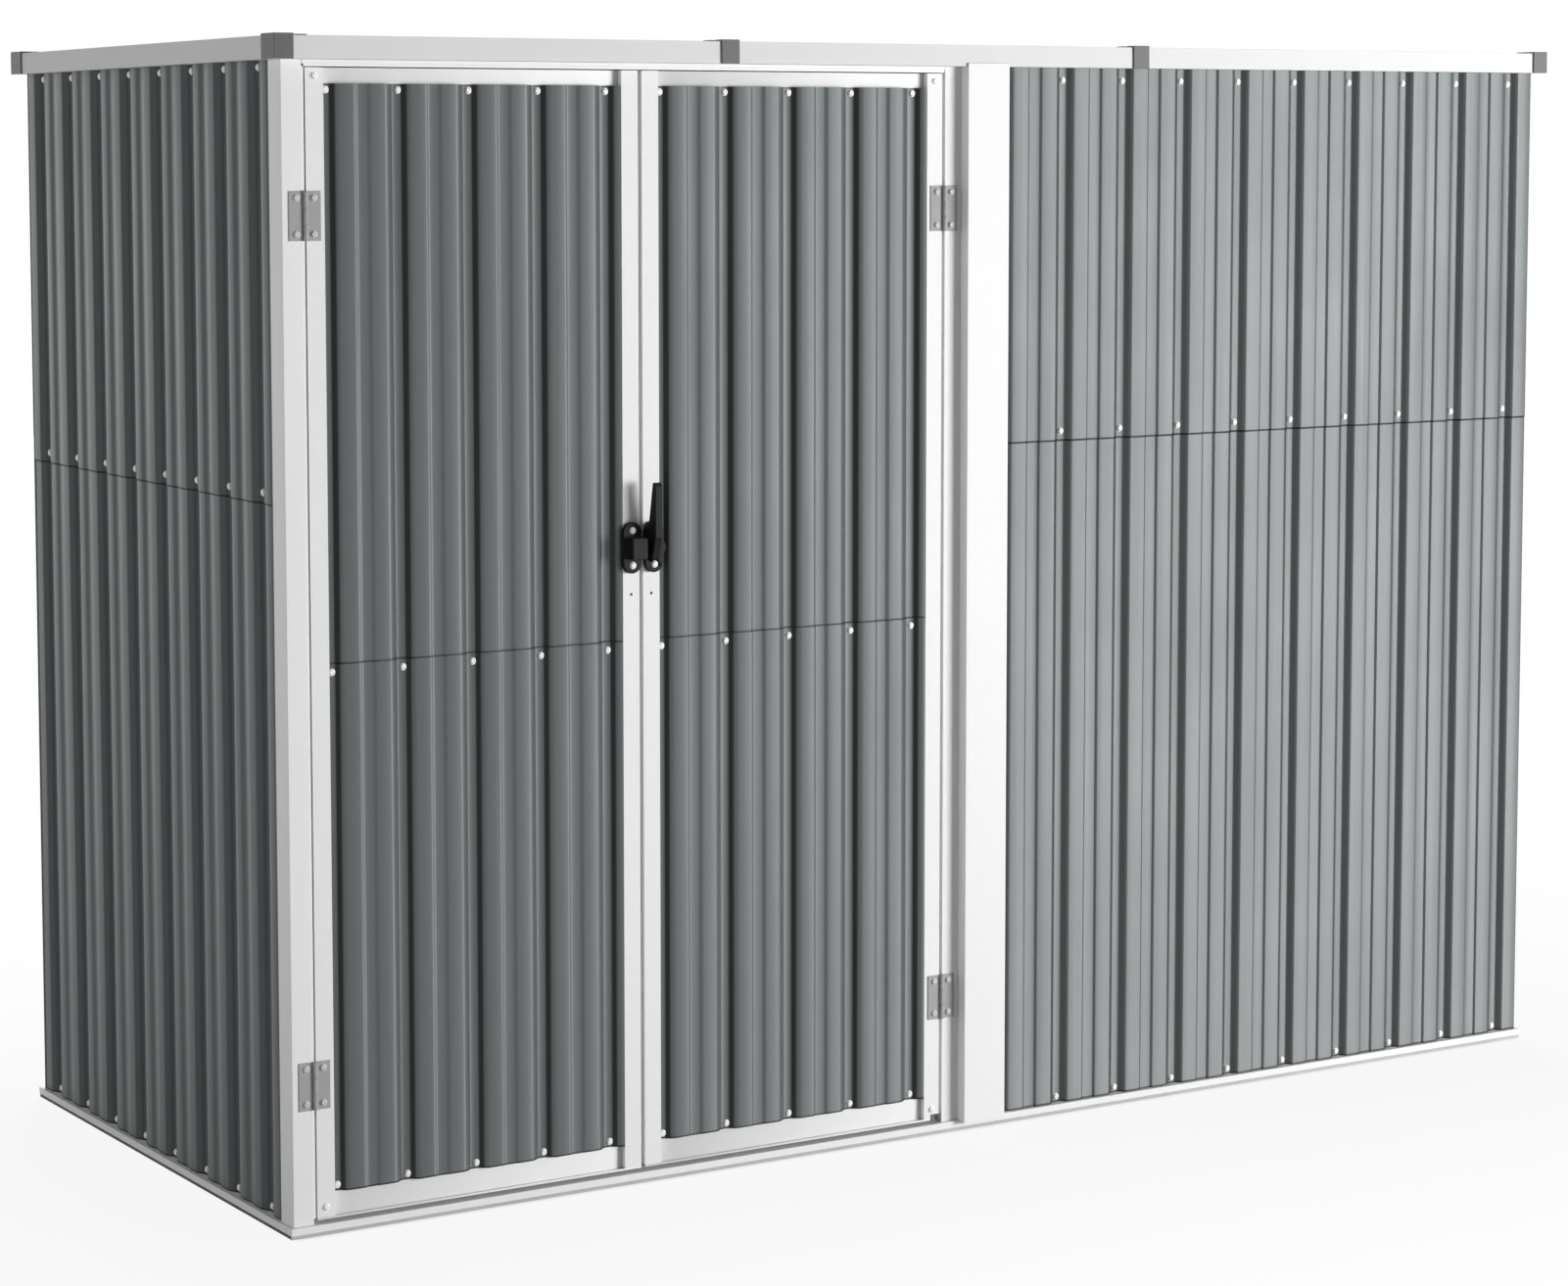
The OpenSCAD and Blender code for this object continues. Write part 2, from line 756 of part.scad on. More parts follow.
module left_door_keeper() {
  color(latch_black) on_left_leaf() {
    latch_plate(leaf_w);
    translate([leaf_w - keeper_w, -keeper_reach, latch_z - keeper_h / 2])
      cube([keeper_w, keeper_reach - latch_t / 2, keeper_h]);
  }
}

module right_door_latch() {
  root = -latch_t / 2;
  neck = -latch_t - lever_w / 2;
  color(latch_black) on_right_leaf() {
    latch_plate(leaf_w);
    translate([leaf_w - latch_w / 2, 0, latch_z])
      rotate([90, 0, 0]) cylinder(r = lever_w, h = lever_foot_reach - latch_t / 2);
    translate([leaf_w - lever_edge - lever_w, 0, latch_z])
      rotate([90, 0, 90])
        linear_extrude(lever_w)
          polygon([
            [root, -lever_down], [-lever_foot_reach, -lever_down], [-lever_reach, lever_down],
            [-lever_reach, lever_up - lever_grip / 2], [lever_grip / 2 - lever_reach, lever_up],
            [lever_grip - lever_reach, lever_up], [neck, lever_bend], [root, lever_down]
          ]);
  }
}

module left_hinge_plates() { color(steel_grey) on_left_leaf() at_hinges() frame_hinge(); }
module right_hinge_plates() { color(steel_grey) on_right_leaf() at_hinges() frame_hinge(); }
module left_door_hinges() { color(steel_grey) on_left_leaf() at_hinges() door_hinge(); }
module right_door_hinges() { color(steel_grey) on_right_leaf() at_hinges() door_hinge(); }
module left_door_stiles() { color(trim_white) on_left_leaf() leaf_stiles(); }
module right_door_stiles() {
  color(trim_white) on_right_leaf()
    difference() {
      leaf_stiles();
      foot_notch();
    }
}
module left_door_rails() { color(trim_white) on_left_leaf() leaf_rails(); }
module right_door_rails() {
  color(trim_white) on_right_leaf()
    difference() {
      leaf_rails();
      foot_notch();
    }
}
module left_door_lower_sheet() { color(sheet_grey) on_left_leaf() leaf_lower_sheet(door_valley); }
module left_door_upper_sheet() { color(sheet_grey) on_left_leaf() leaf_upper_sheet(door_valley); }
module right_door_lower_sheet() { color(sheet_grey) on_right_leaf() leaf_lower_sheet(leaf_w - door_valley); }
module right_door_upper_sheet() { color(sheet_grey) on_right_leaf() leaf_upper_sheet(leaf_w - door_valley); }

base_front_rail();
base_back_rail();
base_side_rails();
front_left_post();
inner_corner_posts();
door_jamb();
wide_post();
door_header();
left_wall_lower();
left_wall_upper();
right_wall_lower();
right_wall_upper();
back_wall_lower();
back_wall_upper();
front_wall_lower();
front_wall_upper();
wall_mid_rails();
wall_top_rails();
roof_sheet_left();
roof_sheet_middle();
roof_sheet_right();
roof_beams();
roof_rails_front();
roof_rails_back();
roof_rails_side();
roof_corner_caps();
roof_joint_caps();
left_hinge_plates();
right_hinge_plates();
left_door_stiles();
left_door_rails();
left_door_lower_sheet();
left_door_upper_sheet();
left_door_hinges();
left_door_keeper();
right_door_stiles();
right_door_rails();
right_door_lower_sheet();
right_door_upper_sheet();
right_door_hinges();
right_door_latch();
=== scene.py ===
"""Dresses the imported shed: rolled sheets, eased trim, strips, screws, finishes, light and camera."""

import json
import math

import bmesh
import bpy
from mathutils import Matrix, Vector


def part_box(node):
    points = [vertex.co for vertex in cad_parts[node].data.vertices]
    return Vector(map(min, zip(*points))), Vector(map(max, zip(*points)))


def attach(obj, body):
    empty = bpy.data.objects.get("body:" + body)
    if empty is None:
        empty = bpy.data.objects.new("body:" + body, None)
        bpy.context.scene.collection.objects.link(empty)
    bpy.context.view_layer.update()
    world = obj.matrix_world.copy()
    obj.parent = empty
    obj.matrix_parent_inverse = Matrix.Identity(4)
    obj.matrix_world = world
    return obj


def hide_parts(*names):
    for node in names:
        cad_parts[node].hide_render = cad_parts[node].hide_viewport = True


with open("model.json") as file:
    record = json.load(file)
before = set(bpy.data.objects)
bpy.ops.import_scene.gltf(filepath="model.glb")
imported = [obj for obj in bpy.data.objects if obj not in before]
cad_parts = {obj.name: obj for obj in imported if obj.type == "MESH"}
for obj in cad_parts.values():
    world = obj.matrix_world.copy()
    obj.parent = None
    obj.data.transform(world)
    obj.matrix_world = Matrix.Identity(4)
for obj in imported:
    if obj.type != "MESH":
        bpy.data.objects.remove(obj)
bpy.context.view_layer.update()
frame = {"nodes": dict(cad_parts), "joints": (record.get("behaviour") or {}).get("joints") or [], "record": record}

MM = 0.001
NEAR = 1e-5

# Driving sizes, in metres
WALL_PITCH = 110.5 * MM
DOOR_PITCH = 106 * MM
RIB_DEPTH = 8 * MM
SHEET_T = 0.55 * MM
LAP_STEP = 0.9 * MM
ROOF_LAP = 26 * MM
DOOR_CREST = 0.1 * MM
FRONT_VALLEY_OFF = 4.9 * MM
FOLD_T = 1.2 * MM
WALLS = ("front", "back", "left", "right")
LONG_WALLS = ("front", "back")


def roll_shape(**sizes):
    """How a rib is rolled, given in millimetres.

    valley and half are half the floors of the valley and the groove, and flank and run the widths of their
    slopes. step is the groove's depth, and the others are the widths of the bends."""
    return {name: size * MM for name, size in sizes.items()}


CRISP = roll_shape(
    valley=6.75, flank=8.5, step=2.4, half=9.5, run=2.8, shoulder=1.6, far=1.6, foot=1.4, groove=0.7
)
ROUND = roll_shape(
    valley=6.75, flank=8.5, step=1.6, half=7.5, run=4.2, shoulder=5.0, far=5.0, foot=1.8, groove=1.6
)
SOFT = roll_shape(
    valley=4.5, flank=14.0, step=2.0, half=4.0, run=10.0, shoulder=2.2, far=9.0, foot=1.8, groove=3.6
)

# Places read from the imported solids
front_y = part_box("front_wall_upper")[0].y
back_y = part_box("back_wall_upper")[1].y
left_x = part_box("left_wall_upper")[0].x
right_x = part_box("right_wall_upper")[1].x
wide_post_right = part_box("wide_post")[1].x
roof_front_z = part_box("front_wall_upper")[1].z
roof_back_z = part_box("back_wall_upper")[1].z
roof_slope = math.atan2(roof_front_z - roof_back_z, back_y - front_y)
roof_up = (0, math.sin(roof_slope), math.cos(roof_slope))
front_valley = wide_post_right - left_x + FRONT_VALLEY_OFF
side_valley = 87.3 * MM
door_valley = 31 * MM
first_valley = {wall: front_valley if wall in LONG_WALLS else side_valley for wall in WALLS}
FRONT, BACK, LEFT, RIGHT = (0, -1, 0), (0, 1, 0), (-1, 0, 0), (1, 0, 0)
OUTWARD = {"front": Vector(FRONT), "back": Vector(BACK), "left": Vector(LEFT), "right": Vector(RIGHT)}


# Modelling tools
def deselect():
    if bpy.context.mode != "OBJECT":
        bpy.ops.object.mode_set(mode="OBJECT")
    bpy.ops.object.select_all(action="DESELECT")


def edit(piece):
    deselect()
    piece.select_set(True)
    bpy.context.view_layer.objects.active = piece
    bpy.ops.object.mode_set(mode="EDIT")
    bpy.ops.mesh.select_mode(type="VERT")
    bpy.ops.mesh.select_all(action="SELECT")


def leave():
    bpy.ops.object.mode_set(mode="OBJECT")


def pick(piece, kind, test):
    """Selects the vertices, edges or faces of a piece in edit mode whose middle passes the test."""
    bpy.ops.mesh.select_mode(type=kind)
    bpy.ops.mesh.select_all(action="DESELECT")
    shape = bmesh.from_edit_mesh(piece.data)
    items = {"VERT": shape.verts, "EDGE": shape.edges, "FACE": shape.faces}[kind]
    for item in items:
        corners = [item] if kind == "VERT" else item.verts
        middle = sum((v.co for v in corners), Vector()) / len(corners)
        if test(middle, item):
            item.select_set(True)
    shape.select_flush_mode()
    bmesh.update_edit_mesh(piece.data)


def modify(piece, kind, **settings):
    """Adds a modifier with these settings and applies it."""
    deselect()
    piece.select_set(True)
    bpy.context.view_layer.objects.active = piece
    modifier = piece.modifiers.new(kind.lower(), kind)
    for name, value in settings.items():
        setattr(modifier, name, value)
    bpy.ops.object.modifier_apply(modifier=modifier.name)


def place(piece, matrix):
    """Puts the piece's place into its mesh."""
    deselect()
    piece.select_set(True)
    bpy.context.view_layer.objects.active = piece
    piece.matrix_world = matrix
    bpy.ops.object.transform_apply(location=True, rotation=True, scale=True)


def smooth(piece, degrees):
    deselect()
    piece.select_set(True)
    bpy.context.view_layer.objects.active = piece
    bpy.ops.object.shade_smooth_by_angle(angle=math.radians(degrees))


def face_along(piece, outward):
    """Turns an open sheet's faces to the outward side."""
    total = sum((f.normal * f.area for f in piece.data.polygons), Vector())
    if total.dot(outward) < 0:
        edit(piece)
        bpy.ops.mesh.flip_normals()
        leave()


def dress(piece, body, slot, finish, *nodes):
    """Gives a piece its finish, unless its faces have theirs already, and the body it rides on."""
    if finish:
        piece.data.materials.clear()
        piece.data.materials.append(finish)
    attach(piece, body)
    if nodes:
        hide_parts(*nodes)


def body_of(node):
    for body, members in frame["record"]["behaviour"]["bodies"].items():
        if node in members:
            return body


# Node groups and finishes
class Wiring:
    """Adds nodes to one node tree and links them."""

    def __init__(self, tree):
        self.tree = tree

    def node(self, kind, settings=None, **inputs):
        made = self.tree.nodes.new(kind)
        for name, value in (settings or {}).items():
            setattr(made, name, value)
        for name, value in inputs.items():
            self.feed(made.inputs[name.replace("_", " ")], value)
        return made

    def feed(self, socket, value):
        if isinstance(value, bpy.types.NodeSocket):
            self.tree.links.new(value, socket)
        else:
            socket.default_value = value

    def math(self, operation, a, b=0.0, clamp=False):
        made = self.tree.nodes.new("ShaderNodeMath")
        made.operation = operation
        made.use_clamp = clamp
        self.feed(made.inputs[0], a)
        self.feed(made.inputs[1], b)
        return made.outputs[0]

    def span(self, value, low, high, to_low=0.0, to_high=1.0):
        made = self.tree.nodes.new("ShaderNodeMapRange")
        for name, part in (
            ("Value", value), ("From Min", low), ("From Max", high), ("To Min", to_low), ("To Max", to_high)
        ):
            self.feed(made.inputs[name], part)
        return made.outputs["Result"]

    def blend(self, factor, a, b, kind="MIX"):
        made = self.tree.nodes.new("ShaderNodeMix")
        made.data_type = "RGBA"
        made.blend_type = kind
        self.feed(made.inputs["Factor"], factor)
        self.feed(made.inputs[6], a)
        self.feed(made.inputs[7], b)
        return made.outputs[2]

    def scaled(self, vector, factors):
        made = self.tree.nodes.new("ShaderNodeVectorMath")
        made.operation = "MULTIPLY"
        self.feed(made.inputs[0], vector)
        self.feed(made.inputs[1], factors)
        return made.outputs[0]

    def dot(self, a, b):
        made = self.tree.nodes.new("ShaderNodeVectorMath")
        made.operation = "DOT_PRODUCT"
        self.feed(made.inputs[0], a)
        self.feed(made.inputs[1], b)
        return made.outputs["Value"]

    def noise(self, vector, scale, detail=2.0, roughness=0.5):
        made = self.node("ShaderNodeTexNoise", Vector=vector, Scale=scale, Detail=detail, Roughness=roughness)
        return made.outputs["Fac"]

    def place(self):
        return self.node("ShaderNodeTexCoord").outputs["Object"]


def new_group(name, inputs, outputs):
    """A shader node group with named sockets: its tree, its wiring, and its two end nodes."""
    tree = bpy.data.node_groups.new(name, "ShaderNodeTree")
    for socket, kind, value in inputs:
        made = tree.interface.new_socket(socket, in_out="INPUT", socket_type="NodeSocket" + kind)
        made.default_value = value
    for socket, kind in outputs:
        tree.interface.new_socket(socket, in_out="OUTPUT", socket_type="NodeSocket" + kind)
    wiring = Wiring(tree)
    return tree, wiring, wiring.node("NodeGroupInput").outputs, wiring.node("NodeGroupOutput").inputs


def coating_group():
    """Baked coating: soft mottle, fine roller streaks along the sheet, and a little orange peel."""
    tree, w, given, out = new_group(
        "baked coating",
        [
            ("Color", "Color", (0.5, 0.5, 0.5, 1)), ("Mottle", "Float", 0.04), ("Streak", "Float", 0.05),
            ("Along", "Vector", (170, 170, 1.3)), ("Gloss", "Float", 0.5),
        ],
        [("Color", "Color"), ("Roughness", "Float"), ("Height", "Float")],
    )
    spot = w.place()
    cloud = w.noise(spot, 3.2, 4.0, 0.55)
    streak = w.noise(w.scaled(spot, given["Along"]), 1.0, 3.0, 0.6)
    grain = w.noise(spot, 900.0, 2.0, 0.6)
    lift = w.math("MULTIPLY", w.math("SUBTRACT", cloud, 0.5), given["Mottle"])
    lines = w.math("MULTIPLY", w.math("SUBTRACT", streak, 0.5), given["Streak"])
    tone = w.math("ADD", w.math("ADD", 1.0, w.math("MULTIPLY", lift, 2.0)), w.math("MULTIPLY", lines, 2.0))
    grey = w.node("ShaderNodeCombineColor", Red=tone, Green=tone, Blue=tone).outputs[0]
    w.feed(out["Color"], w.blend(1.0, given["Color"], grey, "MULTIPLY"))
    rough = w.math("ADD", given["Gloss"], w.span(cloud, 0.3, 0.7, -0.025, 0.025))
    w.feed(out["Roughness"], w.math("ADD", rough, w.span(streak, 0.3, 0.7, -0.03, 0.03), True))
    w.feed(out["Height"], w.math("ADD", w.math("MULTIPLY", grain, 0.6), w.math("MULTIPLY", streak, 0.4)))
    return tree


def dust_group():
    """A thin veil of dust near the ground and on faces that look up."""
    tree, w, given, out = new_group(
        "settled dust",
        [
            ("Color", "Color", (0.5, 0.5, 0.5, 1)), ("Dust", "Color", (0.42, 0.40, 0.36, 1)),
            ("Amount", "Float", 0.1),
        ],
        [("Color", "Color"), ("Mask", "Float")],
    )
    spot = w.place()
    height = w.node("ShaderNodeSeparateXYZ", Vector=spot).outputs["Z"]
    normal = w.node("ShaderNodeNewGeometry").outputs["Normal"]
    up = w.node("ShaderNodeSeparateXYZ", Vector=normal).outputs["Z"]
    low = w.span(height, 0.16, 0.0)
    settled = w.math("MAXIMUM", w.math("MULTIPLY", low, low), w.span(up, 0.6, 1.0))
    patch = w.span(w.noise(spot, 26.0, 5.0, 0.65), 0.3, 0.75)
    mask = w.math("MULTIPLY", w.math("MULTIPLY", settled, patch), given["Amount"], True)
    w.feed(out["Color"], w.blend(mask, given["Color"], given["Dust"]))
    w.feed(out["Mask"], mask)
    return tree


def edge_group():
    """Rubbed edges: a mask that follows sharp outer edges and breaks up along them."""
    tree, w, given, out = new_group(
        "rubbed edges",
        [
            ("Color", "Color", (0.5, 0.5, 0.5, 1)), ("Bare", "Color", (0.6, 0.6, 0.6, 1)),
            ("Amount", "Float", 0.3),
        ],
        [("Color", "Color"), ("Mask", "Float")],
    )
    sharp = w.span(w.node("ShaderNodeNewGeometry").outputs["Pointiness"], 0.53, 0.62)
    broken = w.span(w.noise(w.place(), 140.0, 4.0, 0.7), 0.42, 0.68)
    mask = w.math("MULTIPLY", w.math("MULTIPLY", sharp, broken), given["Amount"], True)
    w.feed(out["Color"], w.blend(mask, given["Color"], given["Bare"]))
    w.feed(out["Mask"], mask)
    return tree


def spangle_group():
    """Zinc: crystal patches with their own tone and gloss, and fine draw lines."""
    tree, w, given, out = new_group(
        "zinc spangle",
        [("Color", "Color", (0.6, 0.6, 0.6, 1)), ("Size", "Float", 90.0), ("Contrast", "Float", 0.15)],
        [("Color", "Color"), ("Roughness", "Float"), ("Height", "Float")],
    )
    spot = w.place()
    bent = w.node("ShaderNodeVectorMath", {"operation": "ADD"})
    w.feed(bent.inputs[0], spot)
    swirl = w.node("ShaderNodeTexNoise", Vector=spot, Scale=60.0).outputs["Color"]
    w.feed(bent.inputs[1], w.scaled(swirl, (0.01,) * 3))
    cell = w.node("ShaderNodeTexVoronoi", Vector=bent.outputs[0], Scale=given["Size"]).outputs["Color"]
    tone = w.node("ShaderNodeSeparateColor", Color=cell).outputs["Red"]
    fine = w.noise(spot, 700.0, 3.0, 0.6)
    shade = w.math("ADD", 1.0, w.math("MULTIPLY", w.math("SUBTRACT", tone, 0.5), given["Contrast"]))
    grey = w.node("ShaderNodeCombineColor", Red=shade, Green=shade, Blue=shade).outputs[0]
    w.feed(out["Color"], w.blend(1.0, given["Color"], grey, "MULTIPLY"))
    rough = w.span(tone, 0.0, 1.0, 0.34, 0.5)
    w.feed(out["Roughness"], w.math("ADD", rough, w.span(fine, 0.3, 0.7, -0.04, 0.04), True))
    w.feed(out["Height"], w.math("ADD", w.math("MULTIPLY", tone, 0.5), w.math("MULTIPLY", fine, 0.5)))
    return tree


def shadow_line_group():
    """Painted shadow: a thin dark line at one height, where one sheet laps over another or along a sheet's foot.
    """
    tree, w, given, out = new_group(
        "painted shadow line",
        [
            ("Color", "Color", (0.5, 0.5, 0.5, 1)), ("Seam", "Float", 1.0), ("Width", "Float", 0.002),
            ("Amount", "Float", 0.7),
        ],
        [("Color", "Color"), ("Mask", "Float")],
    )
    spot = w.place()
    height = w.node("ShaderNodeSeparateXYZ", Vector=spot).outputs["Z"]
    away = w.math("DIVIDE", w.math("ABSOLUTE", w.math("SUBTRACT", height, given["Seam"])), given["Width"])
    patch = w.span(w.noise(spot, 40.0, 4.0, 0.6), 0.3, 0.7, 0.75, 1.0)
    mask = w.math("MULTIPLY", w.math("MULTIPLY", w.span(away, 1.0, 0.4), patch), given["Amount"], True)
    w.feed(out["Color"], w.blend(mask, given["Color"], (0.006, 0.006, 0.006, 1)))
    w.feed(out["Mask"], mask)
    return tree


def bend_shade_group():
    """Painted shade on a rolled sheet: its flanks, leaning one way or the other, and its deep valleys are darkened
    towards black as shade would darken them.
    """
    tree, w, given, out = new_group(
        "painted rib shade",
        [
            ("Color", "Color", (0.5, 0.5, 0.5, 1)), ("Outward", "Vector", (0, -1, 0)), ("Face", "Float", 0.0),
            ("Across", "Vector", (-1, 0, 0)), ("Flank", "Float", 0.5), ("Far Flank", "Float", 0.5),
            ("Valley", "Float", 0.3),
        ],
        [("Color", "Color"), ("Mask", "Float")],
    )
    here = w.node("ShaderNodeTexCoord").outputs
    lean = w.dot(here["Normal"], given["Across"])
    depth = w.math("SUBTRACT", given["Face"], w.dot(here["Object"], given["Outward"]))
    deep = w.span(depth, 0.55 * RIB_DEPTH, 0.95 * RIB_DEPTH)
    below = w.span(depth, 0.2 * RIB_DEPTH, 0.45 * RIB_DEPTH)
    near_side = w.math("MULTIPLY", w.span(lean, 0.3, 0.6), given["Flank"])
    far_side = w.math("MULTIPLY", w.span(lean, -0.3, -0.6), given["Far Flank"])
    flank = w.math("MULTIPLY", w.math("ADD", near_side, far_side), below)
    mask = w.math("MAXIMUM", flank, w.math("MULTIPLY", deep, given["Valley"]), True)
    w.feed(out["Color"], w.blend(mask, given["Color"], (0.004, 0.004, 0.004, 1)))
    w.feed(out["Mask"], mask)
    return tree


COATING = coating_group()
BEND_SHADE = bend_shade_group()
SHADOW_LINE = shadow_line_group()
DUST = dust_group()
EDGES = edge_group()
SPANGLE = spangle_group()


def new_finish(name, specular, metallic=0.0):
    """An empty material with its wiring and its Principled shader."""
    material = bpy.data.materials.new(name)
    material.use_nodes = True
    material.node_tree.nodes.clear()
    w = Wiring(material.node_tree)
    shader = w.node("ShaderNodeBsdfPrincipled", Metallic=metallic)
    shader.inputs["Specular IOR Level"].default_value = specular
    end = w.node("ShaderNodeOutputMaterial")
    w.feed(end.inputs["Surface"], shader.outputs["BSDF"])
    return material, w, shader


def use_group(w, tree, **inputs):
    return w.node("ShaderNodeGroup", {"node_tree": tree}, **inputs).outputs


def bump(w, shader, height, strength, distance):
    made = w.node("ShaderNodeBump", Height=height, Strength=strength, Distance=distance)
    w.feed(shader.inputs["Normal"], made.outputs["Normal"])


UPRIGHT = (170, 170, 1.3)
BARE_WHITE = (0.7, 0.7, 0.7, 1)
GRAIN_H = 0.2 * MM


def coated_finish(name, color, specular, gloss, mottle, streak, along, dust, rubbed=0.0, bowed=None):
    """Baked coating with rubbed edges and dust; a bowed one rounds its shading about a middle on X."""
    material, w, shader = new_finish(name, specular)
    coat = use_group(w, COATING, Color=color, Mottle=mottle, Streak=streak, Along=along, Gloss=gloss)
    shade = coat["Color"]
    if rubbed:
        shade = use_group(w, EDGES, Color=shade, Bare=BARE_WHITE, Amount=rubbed)["Color"]
    veil = use_group(w, DUST, Color=shade, Amount=dust)
    w.feed(shader.inputs["Base Color"], veil["Color"])
    dusty = w.math("MULTIPLY", veil["Mask"], 0.3)
    w.feed(shader.inputs["Roughness"], w.math("ADD", coat["Roughness"], dusty, True))
    if bowed:
        middle, rise = bowed
        off = w.math("SUBTRACT", w.node("ShaderNodeSeparateXYZ", Vector=w.place()).outputs["X"], middle)
        bow = w.math("MULTIPLY", w.math("MULTIPLY", off, off), -rise)
        bump(w, shader, bow, 1.0, 1.0)
    else:
        bump(w, shader, coat["Height"], 0.12, GRAIN_H)
    return material


GREY = (0.095, 0.108, 0.111, 1)
LAP_LINE = 2.0 * MM
FOOT_LINE = 3.0 * MM


def sheet_finish(
    name, specular, seam, foot, outward, face, painted_shade, flat=0.0, along=UPRIGHT, rolled=(0, 0, 1), drawn=0.9
):
    """Grey coil coating with gloss drawn out along the ribs, painted shade in the ribs, and painted shadow lines
    along the lap and the foot.

    The painted shade and shadow lines also lose their gloss, because their black counts as metal."""
    material, w, shader = new_finish(name, specular)
    shader.inputs["Anisotropic"].default_value = drawn
    ribs = w.node("ShaderNodeCombineXYZ", X=rolled[0], Y=rolled[1], Z=rolled[2])
    w.feed(shader.inputs["Tangent"], ribs.outputs[0])
    coat = use_group(w, COATING, Color=GREY, Mottle=0.03, Streak=0.04, Along=along, Gloss=0.45)
    across = (outward[1], -outward[0], 0) if rolled[2] else (-1, 0, 0)
    bends = use_group(
        w, BEND_SHADE, Color=coat["Color"], Outward=outward, Face=face, Across=across,
        Flank=painted_shade["flank"], Far_Flank=painted_shade["far"], Valley=painted_shade["valley"],
    )
    lap = use_group(w, SHADOW_LINE, Color=bends["Color"], Seam=seam, Width=LAP_LINE, Amount=painted_shade["lap"])
    line = use_group(w, SHADOW_LINE, Color=lap["Color"], Seam=foot, Width=FOOT_LINE, Amount=0.95)
    veil = use_group(w, DUST, Color=line["Color"], Amount=0.05)
    w.feed(shader.inputs["Base Color"], veil["Color"])
    # Painted shade and shadow lines lose their gloss too: their black counts as metal, so they stay dark under
    # reflections.
    shadow_lines = w.math("MAXIMUM", lap["Mask"], line["Mask"])
    matt = w.math("MAXIMUM", w.math("MULTIPLY", bends["Mask"], flat), w.math("MULTIPLY", shadow_lines, 0.8))
    w.feed(shader.inputs["Metallic"], matt)
    rough = w.math("ADD", coat["Roughness"], w.math("MULTIPLY", shadow_lines, 0.4))
    dusty = w.math("MULTIPLY", veil["Mask"], 0.3)
    w.feed(shader.inputs["Roughness"], w.math("ADD", rough, dusty, True))
    bump(w, shader, coat["Height"], 0.12, GRAIN_H)
    return material


def zinc_finish(name, color, size, contrast, metallic, dust, dull=0.0):
    """Plated or galvanised steel; a dull one has lost some of its gloss."""
    material, w, shader = new_finish(name, 0.5 - dull, metallic)
    zinc = use_group(w, SPANGLE, Color=color, Size=size, Contrast=contrast)
    veil = use_group(w, DUST, Color=zinc["Color"], Amount=dust)
    w.feed(shader.inputs["Base Color"], veil["Color"])
    w.feed(shader.inputs["Roughness"], w.math("ADD", zinc["Roughness"], dull, True))
    bump(w, shader, zinc["Height"], 0.1, GRAIN_H)
    return material


def moulded_finish(name, color, specular, gloss, rubbed, bare, dust):
    """Moulded plastic with a fine spark-eroded grain."""
    material, w, shader = new_finish(name, specular)
    spot = w.place()
    grain = w.noise(spot, 1600.0, 3.0, 0.65)
    cloud = w.noise(spot, 18.0, 3.0, 0.5)
    tone = w.span(cloud, 0.3, 0.7, 0.93, 1.07)
    grey = w.node("ShaderNodeCombineColor", Red=tone, Green=tone, Blue=tone).outputs[0]
    shade = w.blend(1.0, color, grey, "MULTIPLY")
    shade = use_group(w, EDGES, Color=shade, Bare=bare, Amount=rubbed)["Color"]
    shade = use_group(w, DUST, Color=shade, Amount=dust)["Color"]
    w.feed(shader.inputs["Base Color"], shade)
    w.feed(shader.inputs["Roughness"], w.span(grain, 0.3, 0.7, gloss - 0.06, gloss + 0.06))
    bump(w, shader, grain, 0.25, GRAIN_H)
    return material


# Places of the painted shadow lines, and how much painted shade goes on near and far flanks, in valleys and in
# laps
LINE_OFF = 1 * MM
long_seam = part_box("front_wall_upper")[0].z - LINE_OFF
side_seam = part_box("left_wall_upper")[0].z - LINE_OFF
door_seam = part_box("left_door_lower_sheet")[1].z + LINE_OFF
wall_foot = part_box("front_wall_lower")[0].z
door_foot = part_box("left_door_lower_sheet")[0].z
LONG_PAINTED_SHADE = {"flank": 0.55, "far": 0.55, "valley": 0.2, "lap": 0.95}
SIDE_PAINTED_SHADE = {"flank": 0.0, "far": 0.0, "valley": 0.45, "lap": 0.8}
DOOR_PAINTED_SHADE = {"flank": 0.9, "far": 0.0, "valley": 0.15, "lap": 0.55}
NO_PAINTED_SHADE = {"flank": 0.0, "far": 0.0, "valley": 0.0, "lap": 0.0}
NOWHERE = -1.0

# How each kind of wall sheet is coated
LONG_WALL = {"specular": 0.74, "seam": long_seam, "foot": wall_foot, "painted_shade": LONG_PAINTED_SHADE, "drawn": 1.0}
SIDE_WALL = {"specular": 0.15, "seam": side_seam, "foot": wall_foot, "painted_shade": SIDE_PAINTED_SHADE}
WALL_GREY = {
    "front": sheet_finish("grey front wall coating", outward=FRONT, face=-front_y, **LONG_WALL),
    "back": sheet_finish("grey back wall coating", outward=BACK, face=back_y, **LONG_WALL),
    "left": sheet_finish("grey left wall coating", outward=LEFT, face=-left_x, **SIDE_WALL),
    "right": sheet_finish("grey right wall coating", outward=RIGHT, face=right_x, **SIDE_WALL),
}
